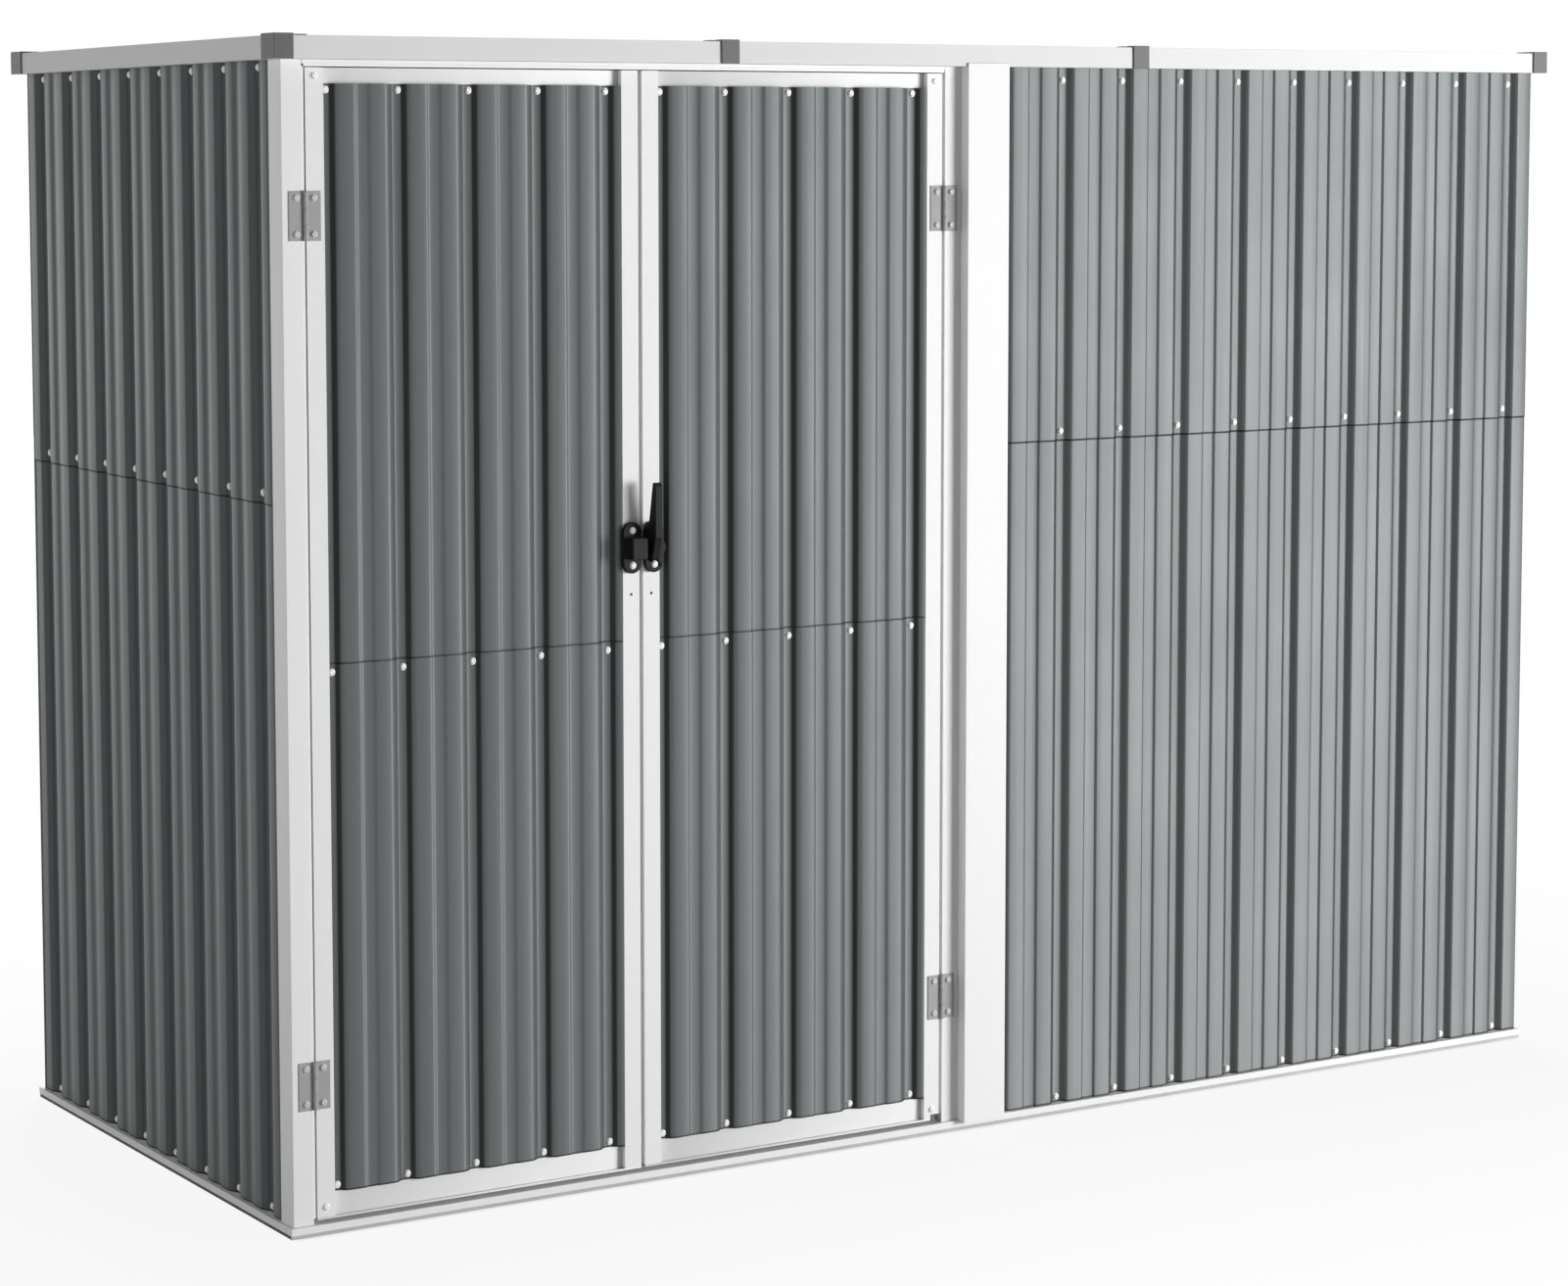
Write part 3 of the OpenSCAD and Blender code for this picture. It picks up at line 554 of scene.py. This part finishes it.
# The door sheets get painted shade on the flanks that lean left, away from the key light, and that shade loses its
# gloss.
door_grey = sheet_finish(
    "grey door coating", specular=0.52, seam=door_seam, foot=door_foot, outward=FRONT, face=-front_y,
    painted_shade=DOOR_PAINTED_SHADE, flat=0.65,
)
roof_grey = sheet_finish(
    "grey roof coating", specular=0.3, seam=NOWHERE, foot=NOWHERE, outward=(0, 0, 1), face=10.0,
    painted_shade=NO_PAINTED_SHADE, along=(170, 1.3, 170), rolled=(0, 1, 0),
)
inner_primer = coated_finish(
    "inner primer", (0.36, 0.37, 0.365, 1), specular=0.25, gloss=0.6, mottle=0.04, streak=0.04,
    along=(120, 120, 2), dust=0.06,
)

# Whites
WHITE = (0.86, 0.86, 0.86, 1)
RAIL_WHITE = (0.77, 0.77, 0.77, 1)
UP_FOLD = (90, 90, 2)
LONG_FOLD = (2, 90, 90)
SMOOTH_COAT = {"mottle": 0.012, "streak": 0.012, "dust": 0.05, "rubbed": 0.15}
TRIM_COAT = {"specular": 0.22, "gloss": 0.48, **SMOOTH_COAT}
LEAF_BOW = 0.5
trim_white = coated_finish("white trim coating", WHITE, along=UP_FOLD, **TRIM_COAT)
rail_white = coated_finish(
    "white rail coating", RAIL_WHITE, specular=0.08, gloss=0.58, along=LONG_FOLD, **SMOOTH_COAT
)
LEAF_WHITE = {}
for side, aside in (("left", 0.0), ("right", 0.1)):
    low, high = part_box(side + "_door_rails")
    LEAF_WHITE[side + "_door_rails"] = coated_finish(
        "white " + side + " leaf rail coating", WHITE, along=LONG_FOLD,
        bowed=((low.x + high.x) / 2 + aside, LEAF_BOW), **TRIM_COAT,
    )
screw_white = coated_finish(
    "white screw paint", (0.92, 0.92, 0.92, 1), specular=0.4, gloss=0.36, mottle=0.01, streak=0.0,
    along=(60, 60, 60), dust=0.02,
)

# Zinc and plastic
frame_zinc = zinc_finish(
    "galvanised frame", (0.52, 0.53, 0.54, 1), size=90.0, contrast=0.25, metallic=0.75, dust=0.06
)
hinge_zinc = zinc_finish(
    "plated hinge", (0.36, 0.36, 0.365, 1), size=260.0, contrast=0.08, metallic=0.15, dust=0.04, dull=0.3
)
screw_zinc = zinc_finish(
    "plated screw", (0.56, 0.56, 0.565, 1), size=300.0, contrast=0.05, metallic=0.15, dust=0.02, dull=0.2
)
cap_grey = moulded_finish(
    "grey cap plastic", (0.088, 0.088, 0.09, 1), specular=0.35, gloss=0.5, rubbed=0.25,
    bare=(0.24, 0.24, 0.24, 1), dust=0.06,
)
latch_black = moulded_finish(
    "black latch plastic", (0.006, 0.006, 0.007, 1), specular=0.13, gloss=0.5, rubbed=0.2,
    bare=(0.03, 0.03, 0.03, 1), dust=0.02,
)
# The foot strips are painted shade under the base rails' face: black at the back and sides, a lighter grey at the
# front where the key light reaches.
FOOT_STRIP_FINISH = {"specular": 0.2, "gloss": 0.6, "rubbed": 0.0, "dust": 0.3}
foot_strip_lit = moulded_finish("foot strip lit grey", (0.5, 0.5, 0.5, 1), bare=(0.5, 0.5, 0.5, 1), **FOOT_STRIP_FINISH)
foot_strip_shade = moulded_finish(
    "foot strip painted shade", (0.02, 0.02, 0.021, 1), bare=(0.05, 0.05, 0.05, 1), **FOOT_STRIP_FINISH
)

FINISHES = {
    "white_trim": trim_white,
    "frame_steel": frame_zinc,
    "cap_plastic": cap_grey,
    "hinge_steel": hinge_zinc,
    "latch_plastic": latch_black,
}
slot_of = {part["node"]: part["material_slot"] for part in frame["record"]["subparts"]}


# Rolled sheets
def rib_bends(pitch, roll):
    """Places of one rib's bends between a valley's centre and the middle of the groove."""
    foot = roll["valley"]
    shoulder = foot + roll["flank"]
    floor = pitch / 2 - roll["half"]
    brink = floor - roll["run"]
    return foot, shoulder, brink, floor


def rib_unit(name, pitch, height, roll):
    """One pitch of rolled sheet, standing on X and Z with its outer face towards -Y."""
    foot, shoulder, brink, floor = rib_bends(pitch, roll)
    bends = [foot, shoulder, brink, floor, pitch - floor, pitch - brink, pitch - shoulder, pitch - foot]
    deselect()
    bpy.ops.mesh.primitive_plane_add(size=1, rotation=(math.radians(90), 0, 0))
    piece = bpy.context.object
    piece.name = name
    bpy.ops.object.transform_apply(location=True, rotation=True, scale=True)
    edit(piece)
    bpy.ops.transform.resize(value=(pitch, 1, height))
    bpy.ops.transform.translate(value=(pitch / 2, 0, height / 2))
    for u in bends:
        bpy.ops.mesh.select_all(action="SELECT")
        bpy.ops.mesh.bisect(plane_co=(u, 0, 0), plane_no=(1, 0, 0))
    pick(piece, "VERT", lambda m, v: m.x < foot + NEAR or m.x > pitch - foot - NEAR)
    bpy.ops.transform.translate(value=(0, RIB_DEPTH, 0))
    pick(piece, "VERT", lambda m, v: floor - NEAR < m.x < pitch - floor + NEAR)
    bpy.ops.transform.translate(value=(0, roll["step"], 0))

    def round_bends(places, width, segments):
        def upright(m, e):
            a, b = e.verts
            return abs(a.co.x - b.co.x) < NEAR and any(abs(m.x - p) < NEAR for p in places)

        pick(piece, "EDGE", upright)
        bpy.ops.mesh.bevel(offset=width, offset_type="OFFSET", segments=segments, affect="EDGES")

    round_bends([shoulder], roll["shoulder"], 4)
    round_bends([pitch - shoulder], roll["far"], 4)
    round_bends([foot, pitch - foot], roll["foot"], 3)
    round_bends([brink, floor, pitch - floor, pitch - brink], roll["groove"], 3)
    leave()
    return piece


def rolled_sheet(name, start, end, pitch, valley, low, high, roll):
    """A sheet between two places along its wall, as an open surface."""
    first = math.floor((start - valley) / pitch)
    offset = valley + first * pitch
    count = math.ceil((end - offset) / pitch)
    piece = rib_unit(name, pitch, high - low, roll)
    modify(
        piece, "ARRAY", count=count, use_relative_offset=False, use_constant_offset=True,
        constant_offset_displace=(pitch, 0, 0), use_merge_vertices=True, merge_threshold=NEAR,
    )
    edit(piece)
    bpy.ops.transform.translate(value=(offset, 0, low))
    bpy.ops.mesh.select_all(action="SELECT")
    bpy.ops.mesh.bisect(plane_co=(start, 0, 0), plane_no=(1, 0, 0), clear_inner=True)
    bpy.ops.mesh.select_all(action="SELECT")
    bpy.ops.mesh.bisect(plane_co=(end, 0, 0), plane_no=(1, 0, 0), clear_outer=True)
    leave()
    return piece


BEND_ANGLE = 34


def finish_sheet(piece, matrix, outward, node, finish, under_roof=False):
    """Places a sheet, cuts it under the roof rail, gives it its thickness and its coating."""
    place(piece, matrix)
    if under_roof:
        edit(piece)
        bpy.ops.mesh.bisect(plane_co=(0, front_y, roof_front_z), plane_no=roof_up, clear_outer=True)
        leave()
    face_along(piece, outward)
    piece.data.materials.append(finish)
    piece.data.materials.append(inner_primer)
    modify(piece, "SOLIDIFY", thickness=SHEET_T, offset=-1, use_even_offset=True, material_offset=1)
    smooth(piece, BEND_ANGLE)
    dress(piece, body_of(node), "grey_sheet", None, node)


def wall_matrix(wall, depth=0.0):
    """Frame of a wall: u along it, n inwards from the sheets' outer face, z up."""
    rows = {
        "front": ((1, 0, 0, left_x), (0, 1, 0, front_y + depth), (0, 0, 1, 0)),
        "back": ((1, 0, 0, left_x), (0, -1, 0, back_y - depth), (0, 0, 1, 0)),
        "left": ((0, 1, 0, left_x + depth), (1, 0, 0, front_y), (0, 0, 1, 0)),
        "right": ((0, -1, 0, right_x - depth), (1, 0, 0, front_y), (0, 0, 1, 0)),
    }[wall]
    return Matrix((*rows, (0, 0, 0, 1)))


def wall_span(node, wall):
    """Start and end of a sheet along its wall, and its low and high ends."""
    low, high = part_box(node)
    if wall in LONG_WALLS:
        return low.x - left_x, high.x - left_x, low.z, high.z
    return low.y - front_y, high.y - front_y, low.z, high.z


TOP_SPARE = 20 * MM
for wall in WALLS:
    roll = CRISP if wall in LONG_WALLS else SOFT
    for level, depth, spare in (("lower", LAP_STEP, 0), ("upper", 0.0, TOP_SPARE)):
        node = wall + "_wall_" + level
        start, end, low, high = wall_span(node, wall)
        top = high + spare
        piece = rolled_sheet(node + "_rolled", start, end, WALL_PITCH, first_valley[wall], low, top, roll)
        finish_sheet(piece, wall_matrix(wall, depth), OUTWARD[wall], node, WALL_GREY[wall], level == "upper")

leaf_edge = {"left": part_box("left_door_stiles")[0].x, "right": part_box("right_door_stiles")[0].x}
for side in ("left", "right"):
    for level, depth in (("lower", DOOR_CREST), ("upper", DOOR_CREST + LAP_STEP)):
        node = side + "_door_" + level + "_sheet"
        low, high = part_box(node)
        edge = leaf_edge[side]
        start, end = low.x - edge, high.x - edge
        piece = rolled_sheet(node + "_rolled", start, end, DOOR_PITCH, door_valley, low.z, high.z, ROUND)
        matrix = Matrix.Translation((edge, front_y + depth, 0))
        finish_sheet(piece, matrix, OUTWARD["front"], node, door_grey)

roof_joints = [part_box("roof_sheet_" + part)[0].x + ROOF_LAP for part in ("middle", "right")]
roof_valley = roof_joints[0] - left_x + WALL_PITCH / 2
for part in ("left", "middle", "right"):
    node = "roof_sheet_" + part
    low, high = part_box(node)
    run = (high.y - low.y) / math.cos(roof_slope)
    start, end = low.x - left_x, high.x - left_x
    piece = rolled_sheet(node + "_rolled", start, end, WALL_PITCH, roof_valley, 0, run, CRISP)
    tilt = Matrix.Rotation(-roof_slope - math.radians(90), 4, "X")
    matrix = Matrix.Translation((left_x, low.y, high.z)) @ tilt
    finish_sheet(piece, matrix, Vector((0, 0, 1)), node, roof_grey)


# Folded steel, hinges, caps and latch: merged copies of the solids with eased edges
def eased(node, width, segments):
    """A copy of a node's solids with its edges eased, in the node's own finish."""
    source = frame["nodes"][node]
    deselect()
    piece = source.copy()
    piece.data = source.data.copy()
    piece.parent = None
    piece.name = node + "_eased"
    for key in list(piece.keys()):
        del piece[key]
    bpy.context.scene.collection.objects.link(piece)
    edit(piece)
    bpy.ops.mesh.remove_doubles(threshold=2e-6)
    bpy.ops.mesh.select_all(action="SELECT")
    bpy.ops.mesh.dissolve_limited(angle_limit=math.radians(0.5))
    leave()
    modify(
        piece, "BEVEL", width=width, segments=segments, limit_method="ANGLE", angle_limit=math.radians(30),
        harden_normals=True, use_clamp_overlap=True,
    )
    finish = rail_white if node.startswith("roof_rails") else LEAF_WHITE.get(node, FINISHES[slot_of[node]])
    dress(piece, body_of(node), slot_of[node], finish, node)


EASE = {
    "white_trim": (0.5 * MM, 2),
    "frame_steel": (0.4 * MM, 1),
    "cap_plastic": (0.8 * MM, 3),
    "hinge_steel": (0.3 * MM, 2),
    "latch_plastic": (1.2 * MM, 3),
}
for node, slot in slot_of.items():
    if slot in EASE:
        eased(node, *EASE[slot])


# Strips under the face of the base rails, painted as the shade there, and strips in the gaps of the doorway
STRIP_EASE = 0.3 * MM


def strip(name, low, high, slot, finish):
    """A straight strip of the shed between two corners, with its upper edges eased."""
    low, high = Vector(low), Vector(high)
    deselect()
    bpy.ops.mesh.primitive_cube_add(size=1)
    piece = bpy.context.object
    piece.name = name
    edit(piece)
    bpy.ops.transform.resize(value=tuple(high - low))
    bpy.ops.transform.translate(value=tuple((low + high) / 2))
    pick(piece, "EDGE", lambda m, e: m.z > low.z + NEAR)
    bpy.ops.mesh.bevel(offset=STRIP_EASE, offset_type="OFFSET", segments=2, affect="EDGES")
    leave()
    dress(piece, "shed", slot, finish)


FOOT_LOW = 0.1 * MM
FOOT_H = 4.8 * MM
FOOT_OUT = 5.2 * MM
foot_left = left_x - FOOT_OUT
foot_right = right_x + FOOT_OUT
foot_front = front_y - FOOT_OUT
foot_back = back_y + FOOT_OUT
# Painted shade: the back and side strips are black, the front one lighter grey because light reaches it.
for name, low, high in (
    ("front_foot_strip", (foot_left, foot_front, FOOT_LOW), (foot_right, front_y, FOOT_H)),
    ("back_foot_strip", (foot_left, back_y, FOOT_LOW), (foot_right, foot_back, FOOT_H)),
    ("left_foot_strip", (foot_left, front_y, FOOT_LOW), (left_x, back_y, FOOT_H)),
    ("right_foot_strip", (right_x, front_y, FOOT_LOW), (foot_right, back_y, FOOT_H)),
):
    strip(name, low, high, "cap_plastic", foot_strip_lit if name.startswith("front") else foot_strip_shade)

post_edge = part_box("front_left_post")[1].x
leaf_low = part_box("left_door_stiles")[0]
leaf_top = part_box("left_door_stiles")[1].z
header_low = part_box("door_header")[0]
jamb_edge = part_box("door_jamb")[0].x
STOP_GAP = 1.3 * MM
STOP_BACK = 1.6 * MM
stop_front = front_y + STOP_BACK
stop_back = stop_front + FOLD_T
strip(
    "post_door_stop", (post_edge, stop_front, leaf_low.z), (leaf_low.x - STOP_GAP, stop_back, header_low.z),
    "white_trim", trim_white,
)
strip(
    "header_door_stop", (post_edge, stop_front, leaf_top + STOP_GAP), (jamb_edge, stop_back, header_low.z),
    "white_trim", trim_white,
)


# Screws: each step of the head keeps a share of the face below it and rises some millimetres
SCREW_R = 5.2 * MM
WASHER_T = 0.6 * MM
HEAD_STEPS = ((0.86, 0.25), (0.97, 0.9), (0.86, 0.7), (0.62, 0.35))
RECESS_RIM = 0.35 * MM
RECESS_DEPTH = 0.5 * MM
RECESS_TAPER = 0.7
HEAD_ANGLE = 40
HEAD_SPIN = 0.7


def screw_master():
    """A washer head screw standing on Z, with a domed head and a recess."""
    deselect()
    bpy.ops.mesh.primitive_cylinder_add(
        vertices=12, radius=SCREW_R, depth=WASHER_T, location=(0, 0, WASHER_T / 2)
    )
    piece = bpy.context.object
    piece.name = "screw_pattern"
    bpy.ops.object.transform_apply(location=True, rotation=True, scale=True)
    top = WASHER_T
    edit(piece)
    for shrink, rise in HEAD_STEPS:
        pick(piece, "FACE", lambda m, f: f.normal.z > 0.9 and m.z > top - NEAR)
        bpy.ops.mesh.extrude_region_move(TRANSFORM_OT_translate={"value": (0, 0, rise * MM)})
        bpy.ops.transform.resize(value=(shrink, shrink, 1))
        top += rise * MM
    pick(piece, "FACE", lambda m, f: f.normal.z > 0.9 and m.z > top - NEAR)
    bpy.ops.mesh.inset(thickness=RECESS_RIM)
    bpy.ops.mesh.extrude_region_move(TRANSFORM_OT_translate={"value": (0, 0, -RECESS_DEPTH)})
    bpy.ops.transform.resize(value=(RECESS_TAPER, RECESS_TAPER, 1))
    pick(piece, "FACE", lambda m, f: f.normal.z < -0.9 and m.z < NEAR)
    bpy.ops.mesh.delete(type="ONLY_FACE")
    leave()
    smooth(piece, HEAD_ANGLE)
    return piece


pattern = screw_master()


def screws(name, body, spots, outward, turn=0.0, finish=screw_white, slot="white_trim"):
    """Copies the screw to each spot, heads outward, and joins the copies."""
    aim = outward.to_track_quat("Z", "Y").to_matrix().to_4x4()
    copies = []
    for number, spot in enumerate(spots):
        copy = pattern.copy()
        copy.data = pattern.data.copy()
        bpy.context.scene.collection.objects.link(copy)
        spin = Matrix.Rotation(HEAD_SPIN * number + turn, 4, "Z")
        place(copy, Matrix.Translation(spot) @ aim @ spin)
        copies.append(copy)
    deselect()
    for copy in copies:
        copy.select_set(True)
    bpy.context.view_layer.objects.active = copies[0]
    bpy.ops.object.join()
    piece = bpy.context.object
    piece.name = name
    dress(piece, body, slot, finish)


def valleys(start, end, pitch, valley, margin):
    """Valley centres between two places, a margin inside them."""
    first = math.ceil((start + margin - valley) / pitch)
    last = math.floor((end - margin - valley) / pitch)
    return [valley + pitch * n for n in range(first, last + 1)]


HEAD_FROM_TOP = {"front": 18 * MM, "back": 18 * MM, "left": 9 * MM, "right": 9 * MM}
HEAD_FROM_SEAM = 13 * MM
HEAD_FROM_FOOT = 8 * MM
HEAD_FROM_SIDE = 12 * MM
for wall in WALLS:
    start, end, low = wall_span(wall + "_wall_lower", wall)[:3]
    upper_low = wall_span(wall + "_wall_upper", wall)[2]
    rows = [(low + HEAD_FROM_FOOT, LAP_STEP), (upper_low + HEAD_FROM_SEAM, 0.0)]
    spots = []
    for u in valleys(start, end, WALL_PITCH, first_valley[wall], HEAD_FROM_SIDE):
        across = u if wall in ("left", "right") else (0 if wall == "front" else back_y - front_y)
        top = roof_front_z - math.tan(roof_slope) * across - HEAD_FROM_TOP[wall]
        for z, depth in rows + [(top, 0.0)]:
            spots.append(wall_matrix(wall) @ Vector((u, RIB_DEPTH + depth, z)))
    screws(wall + "_wall_screws", "shed", spots, OUTWARD[wall])

DOOR_HEAD_OFF = 2.5 * MM
DOOR_HEAD_FROM_SEAM = 11 * MM
DOOR_HEAD_FROM_TOP = 8 * MM
for side in ("left", "right"):
    low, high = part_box(side + "_door_lower_sheet")
    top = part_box(side + "_door_upper_sheet")[1].z
    edge = leaf_edge[side]
    n = RIB_DEPTH + DOOR_CREST
    rows = (
        (low.z + HEAD_FROM_FOOT, 0.0),
        (high.z - DOOR_HEAD_FROM_SEAM, 0.0),
        (top - DOOR_HEAD_FROM_TOP, LAP_STEP),
    )
    spots = []
    for u in valleys(low.x - edge, high.x - edge, DOOR_PITCH, door_valley, 0.0):
        for z, depth in rows:
            spots.append(Vector((edge + u + DOOR_HEAD_OFF, front_y + n + depth, z)))
    screws(side + "_door_screws", side + "_door", spots, OUTWARD["front"])


def on_roof(part, x, y, depth):
    """A spot on a roof sheet, a depth under its crests."""
    low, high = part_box("roof_sheet_" + part)
    return Vector((x, y, high.z - math.tan(roof_slope) * (y - low.y) - depth))


HEAD_FROM_EAVES = 75 * MM
ROOF_JOINT_ROWS = (-0.3, -0.15, 0.0, 0.15, 0.3)
spots = []
for part in ("left", "middle", "right"):
    low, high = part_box("roof_sheet_" + part)
    rows = (low.y + HEAD_FROM_EAVES, high.y - HEAD_FROM_EAVES)
    for u in valleys(low.x - left_x, high.x - left_x, WALL_PITCH, roof_valley, ROOF_LAP):
        spots += [on_roof(part, left_x + u, y, RIB_DEPTH) for y in rows]
for x in roof_joints:
    spots += [on_roof("middle", x, y, CRISP["step"]) for y in ROOF_JOINT_ROWS]
screws("roof_screws", "shed", spots, Vector(roof_up))

HINGE_H = 66 * MM
HINGE_T = 1.5 * MM
HINGE_SCREW = 24 * MM
HINGE_PLATE = 12.5 * MM


def hinge_screws(name, body, node, plate_x):
    """Two screws on each plate of a hinge node, above and below its middle."""
    low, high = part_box(node)
    half = HINGE_H / 2
    spots = []
    for middle in (low.z + half, high.z - half):
        for z in (middle - HINGE_SCREW, middle + HINGE_SCREW):
            spots.append(Vector((plate_x, front_y - HINGE_T, z)))
    screws(name, body, spots, OUTWARD["front"], turn=0.3, finish=screw_zinc, slot="hinge_steel")


for side, into_leaf in (("left", 1), ("right", -1)):
    door = side + "_door"
    axis_x = [j for j in frame["joints"] if j["child"] == door][0]["pos_m"][0]
    frame_plate = axis_x - into_leaf * HINGE_PLATE
    leaf_plate = axis_x + into_leaf * HINGE_PLATE
    hinge_screws(side + "_frame_hinge_screws", "shed", side + "_hinge_plates", frame_plate)
    hinge_screws(door + "_hinge_screws", door, door + "_hinges", leaf_plate)

LATCH_Z = 907 * MM
LATCH_T = 7 * MM
LATCH_SCREW = 24.5 * MM
LATCH_HALF = 14.5 * MM
STILE_HALF = 13.25 * MM
STILE_HEAD_LOW = 14 * MM
STILE_HEAD_HIGH = 11 * MM
for side, latch_x in (
    ("left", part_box("left_door_stiles")[1].x - LATCH_HALF),
    ("right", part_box("right_door_stiles")[0].x + LATCH_HALF),
):
    spots = [Vector((latch_x, front_y - LATCH_T, LATCH_Z + z)) for z in (-LATCH_SCREW, LATCH_SCREW)]
    low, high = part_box(side + "_door_stiles")
    hinge_stile = low.x + STILE_HALF if side == "left" else high.x - STILE_HALF
    for z in (low.z + STILE_HEAD_LOW, high.z - STILE_HEAD_HIGH):
        spots.append(Vector((hinge_stile, front_y, z)))
    screws(side + "_door_frame_screws", side + "_door", spots, OUTWARD["front"], turn=0.9)


# Camera, at the photograph's place
CAMERA_SPOT = (-3.2358, -5.1007, 1.4802)
CAMERA_LENS = 88.43
CAMERA_SHIFT = -0.1
CAMERA_PITCH = 5.195
CAMERA_YAW = 32.066
camera_data = bpy.data.cameras.new("view")
camera_data.sensor_width = 36
camera_data.lens = CAMERA_LENS
camera_data.shift_y = CAMERA_SHIFT
camera_data.clip_end = 100
camera = bpy.data.objects.new("view", camera_data)
bpy.context.scene.collection.objects.link(camera)
camera.location = CAMERA_SPOT
camera.rotation_euler = (math.radians(90 - CAMERA_PITCH), 0, math.radians(-CAMERA_YAW))
bpy.context.scene.camera = camera


# Studio: pale floor, white surround, a large key from the front right, and fills from the left and back
def seen_directly(w):
    """One for camera, glossy and transmission rays."""
    path = w.node("ShaderNodeLightPath").outputs
    shown = w.math("MAXIMUM", path["Is Camera Ray"], path["Is Glossy Ray"])
    return w.math("MAXIMUM", shown, path["Is Transmission Ray"])


FLOOR_SIZE = 60
FLOOR_DROP = 0.6 * MM
deselect()
bpy.ops.mesh.primitive_plane_add(size=FLOOR_SIZE, location=(0, 0, -FLOOR_DROP))
floor = bpy.context.object
floor.name = "studio_floor"
pale = bpy.data.materials.new("pale floor")
pale.use_nodes = True
pale.node_tree.nodes.clear()
w = Wiring(pale.node_tree)
matte = w.node("ShaderNodeBsdfDiffuse", Color=(0.74, 0.74, 0.74, 1))
glow = w.node("ShaderNodeEmission", Color=(1, 1, 1, 1), Strength=1.0)
spot = w.node("ShaderNodeSeparateXYZ", Vector=w.place()).outputs
past_x = w.math("SUBTRACT", w.math("ABSOLUTE", spot["X"]), right_x)
past_y = w.math("SUBTRACT", w.math("ABSOLUTE", spot["Y"]), back_y)
beyond_x = w.math("MAXIMUM", past_x, 0.0)
beyond_y = w.math("MAXIMUM", past_y, 0.0)
square_x = w.math("MULTIPLY", beyond_x, beyond_x)
squares = w.math("ADD", square_x, w.math("MULTIPLY", beyond_y, beyond_y))
beyond = w.math("SQRT", squares)
close_share = w.span(beyond, 0.0, 0.1, 0.55, 0.9)
open_share = w.math("MAXIMUM", close_share, w.span(beyond, 0.1, 1.2, 0.9, 1.0))
roofed = w.span(w.math("MAXIMUM", past_x, past_y), 0.0, -0.03, 1.0, 0.2)
share = w.math("MULTIPLY", open_share, roofed)
mix = w.node("ShaderNodeMixShader", Fac=w.math("MULTIPLY", seen_directly(w), share))
w.feed(mix.inputs[1], matte.outputs[0])
w.feed(mix.inputs[2], glow.outputs[0])
w.feed(w.node("ShaderNodeOutputMaterial").inputs["Surface"], mix.outputs[0])
floor.data.materials.append(pale)

world = bpy.data.worlds.new("studio")
bpy.context.scene.world = world
world.use_nodes = True
world.node_tree.nodes.clear()
w = Wiring(world.node_tree)
strength = w.span(seen_directly(w), 0.0, 1.0, 0.09, 1.0)
surround = w.node("ShaderNodeBackground", Color=(1, 1, 1, 1), Strength=strength)
w.feed(w.node("ShaderNodeOutputWorld").inputs["Surface"], surround.outputs[0])


def softbox(name, spot, target, width, height, watts):
    """A rectangular lamp at a spot, turned towards a target."""
    data = bpy.data.lights.new(name, "AREA")
    data.shape = "RECTANGLE"
    data.size = width
    data.size_y = height
    data.energy = watts
    lamp = bpy.data.objects.new(name, data)
    bpy.context.scene.collection.objects.link(lamp)
    lamp.location = spot
    lamp.rotation_euler = (Vector(target) - Vector(spot)).to_track_quat("-Z", "Y").to_euler()


softbox("key", (4.5, -5.65, 1.05), target=(0.3, -0.45, 0.8), width=2.9, height=2.1, watts=500)
softbox("left_fill", (-2.3, 4.35, 1.2), target=(-1.0, 0.0, 0.8), width=1.8, height=2.0, watts=17)
softbox("side_fill", (-5.2, -0.8, 1.3), target=(-1.1, 0.0, 0.8), width=2.0, height=2.0, watts=44)
softbox("back_fill", (2.4, 5.2, 2.4), target=(0.2, 0.4, 0.8), width=2.6, height=2.2, watts=320)
softbox("overhead", (0.3, 0.6, 3.6), target=(0, 0, 1.6), width=3.0, height=2.0, watts=40)

bpy.context.scene.view_settings.view_transform = "Standard"
bpy.data.objects.remove(pattern)
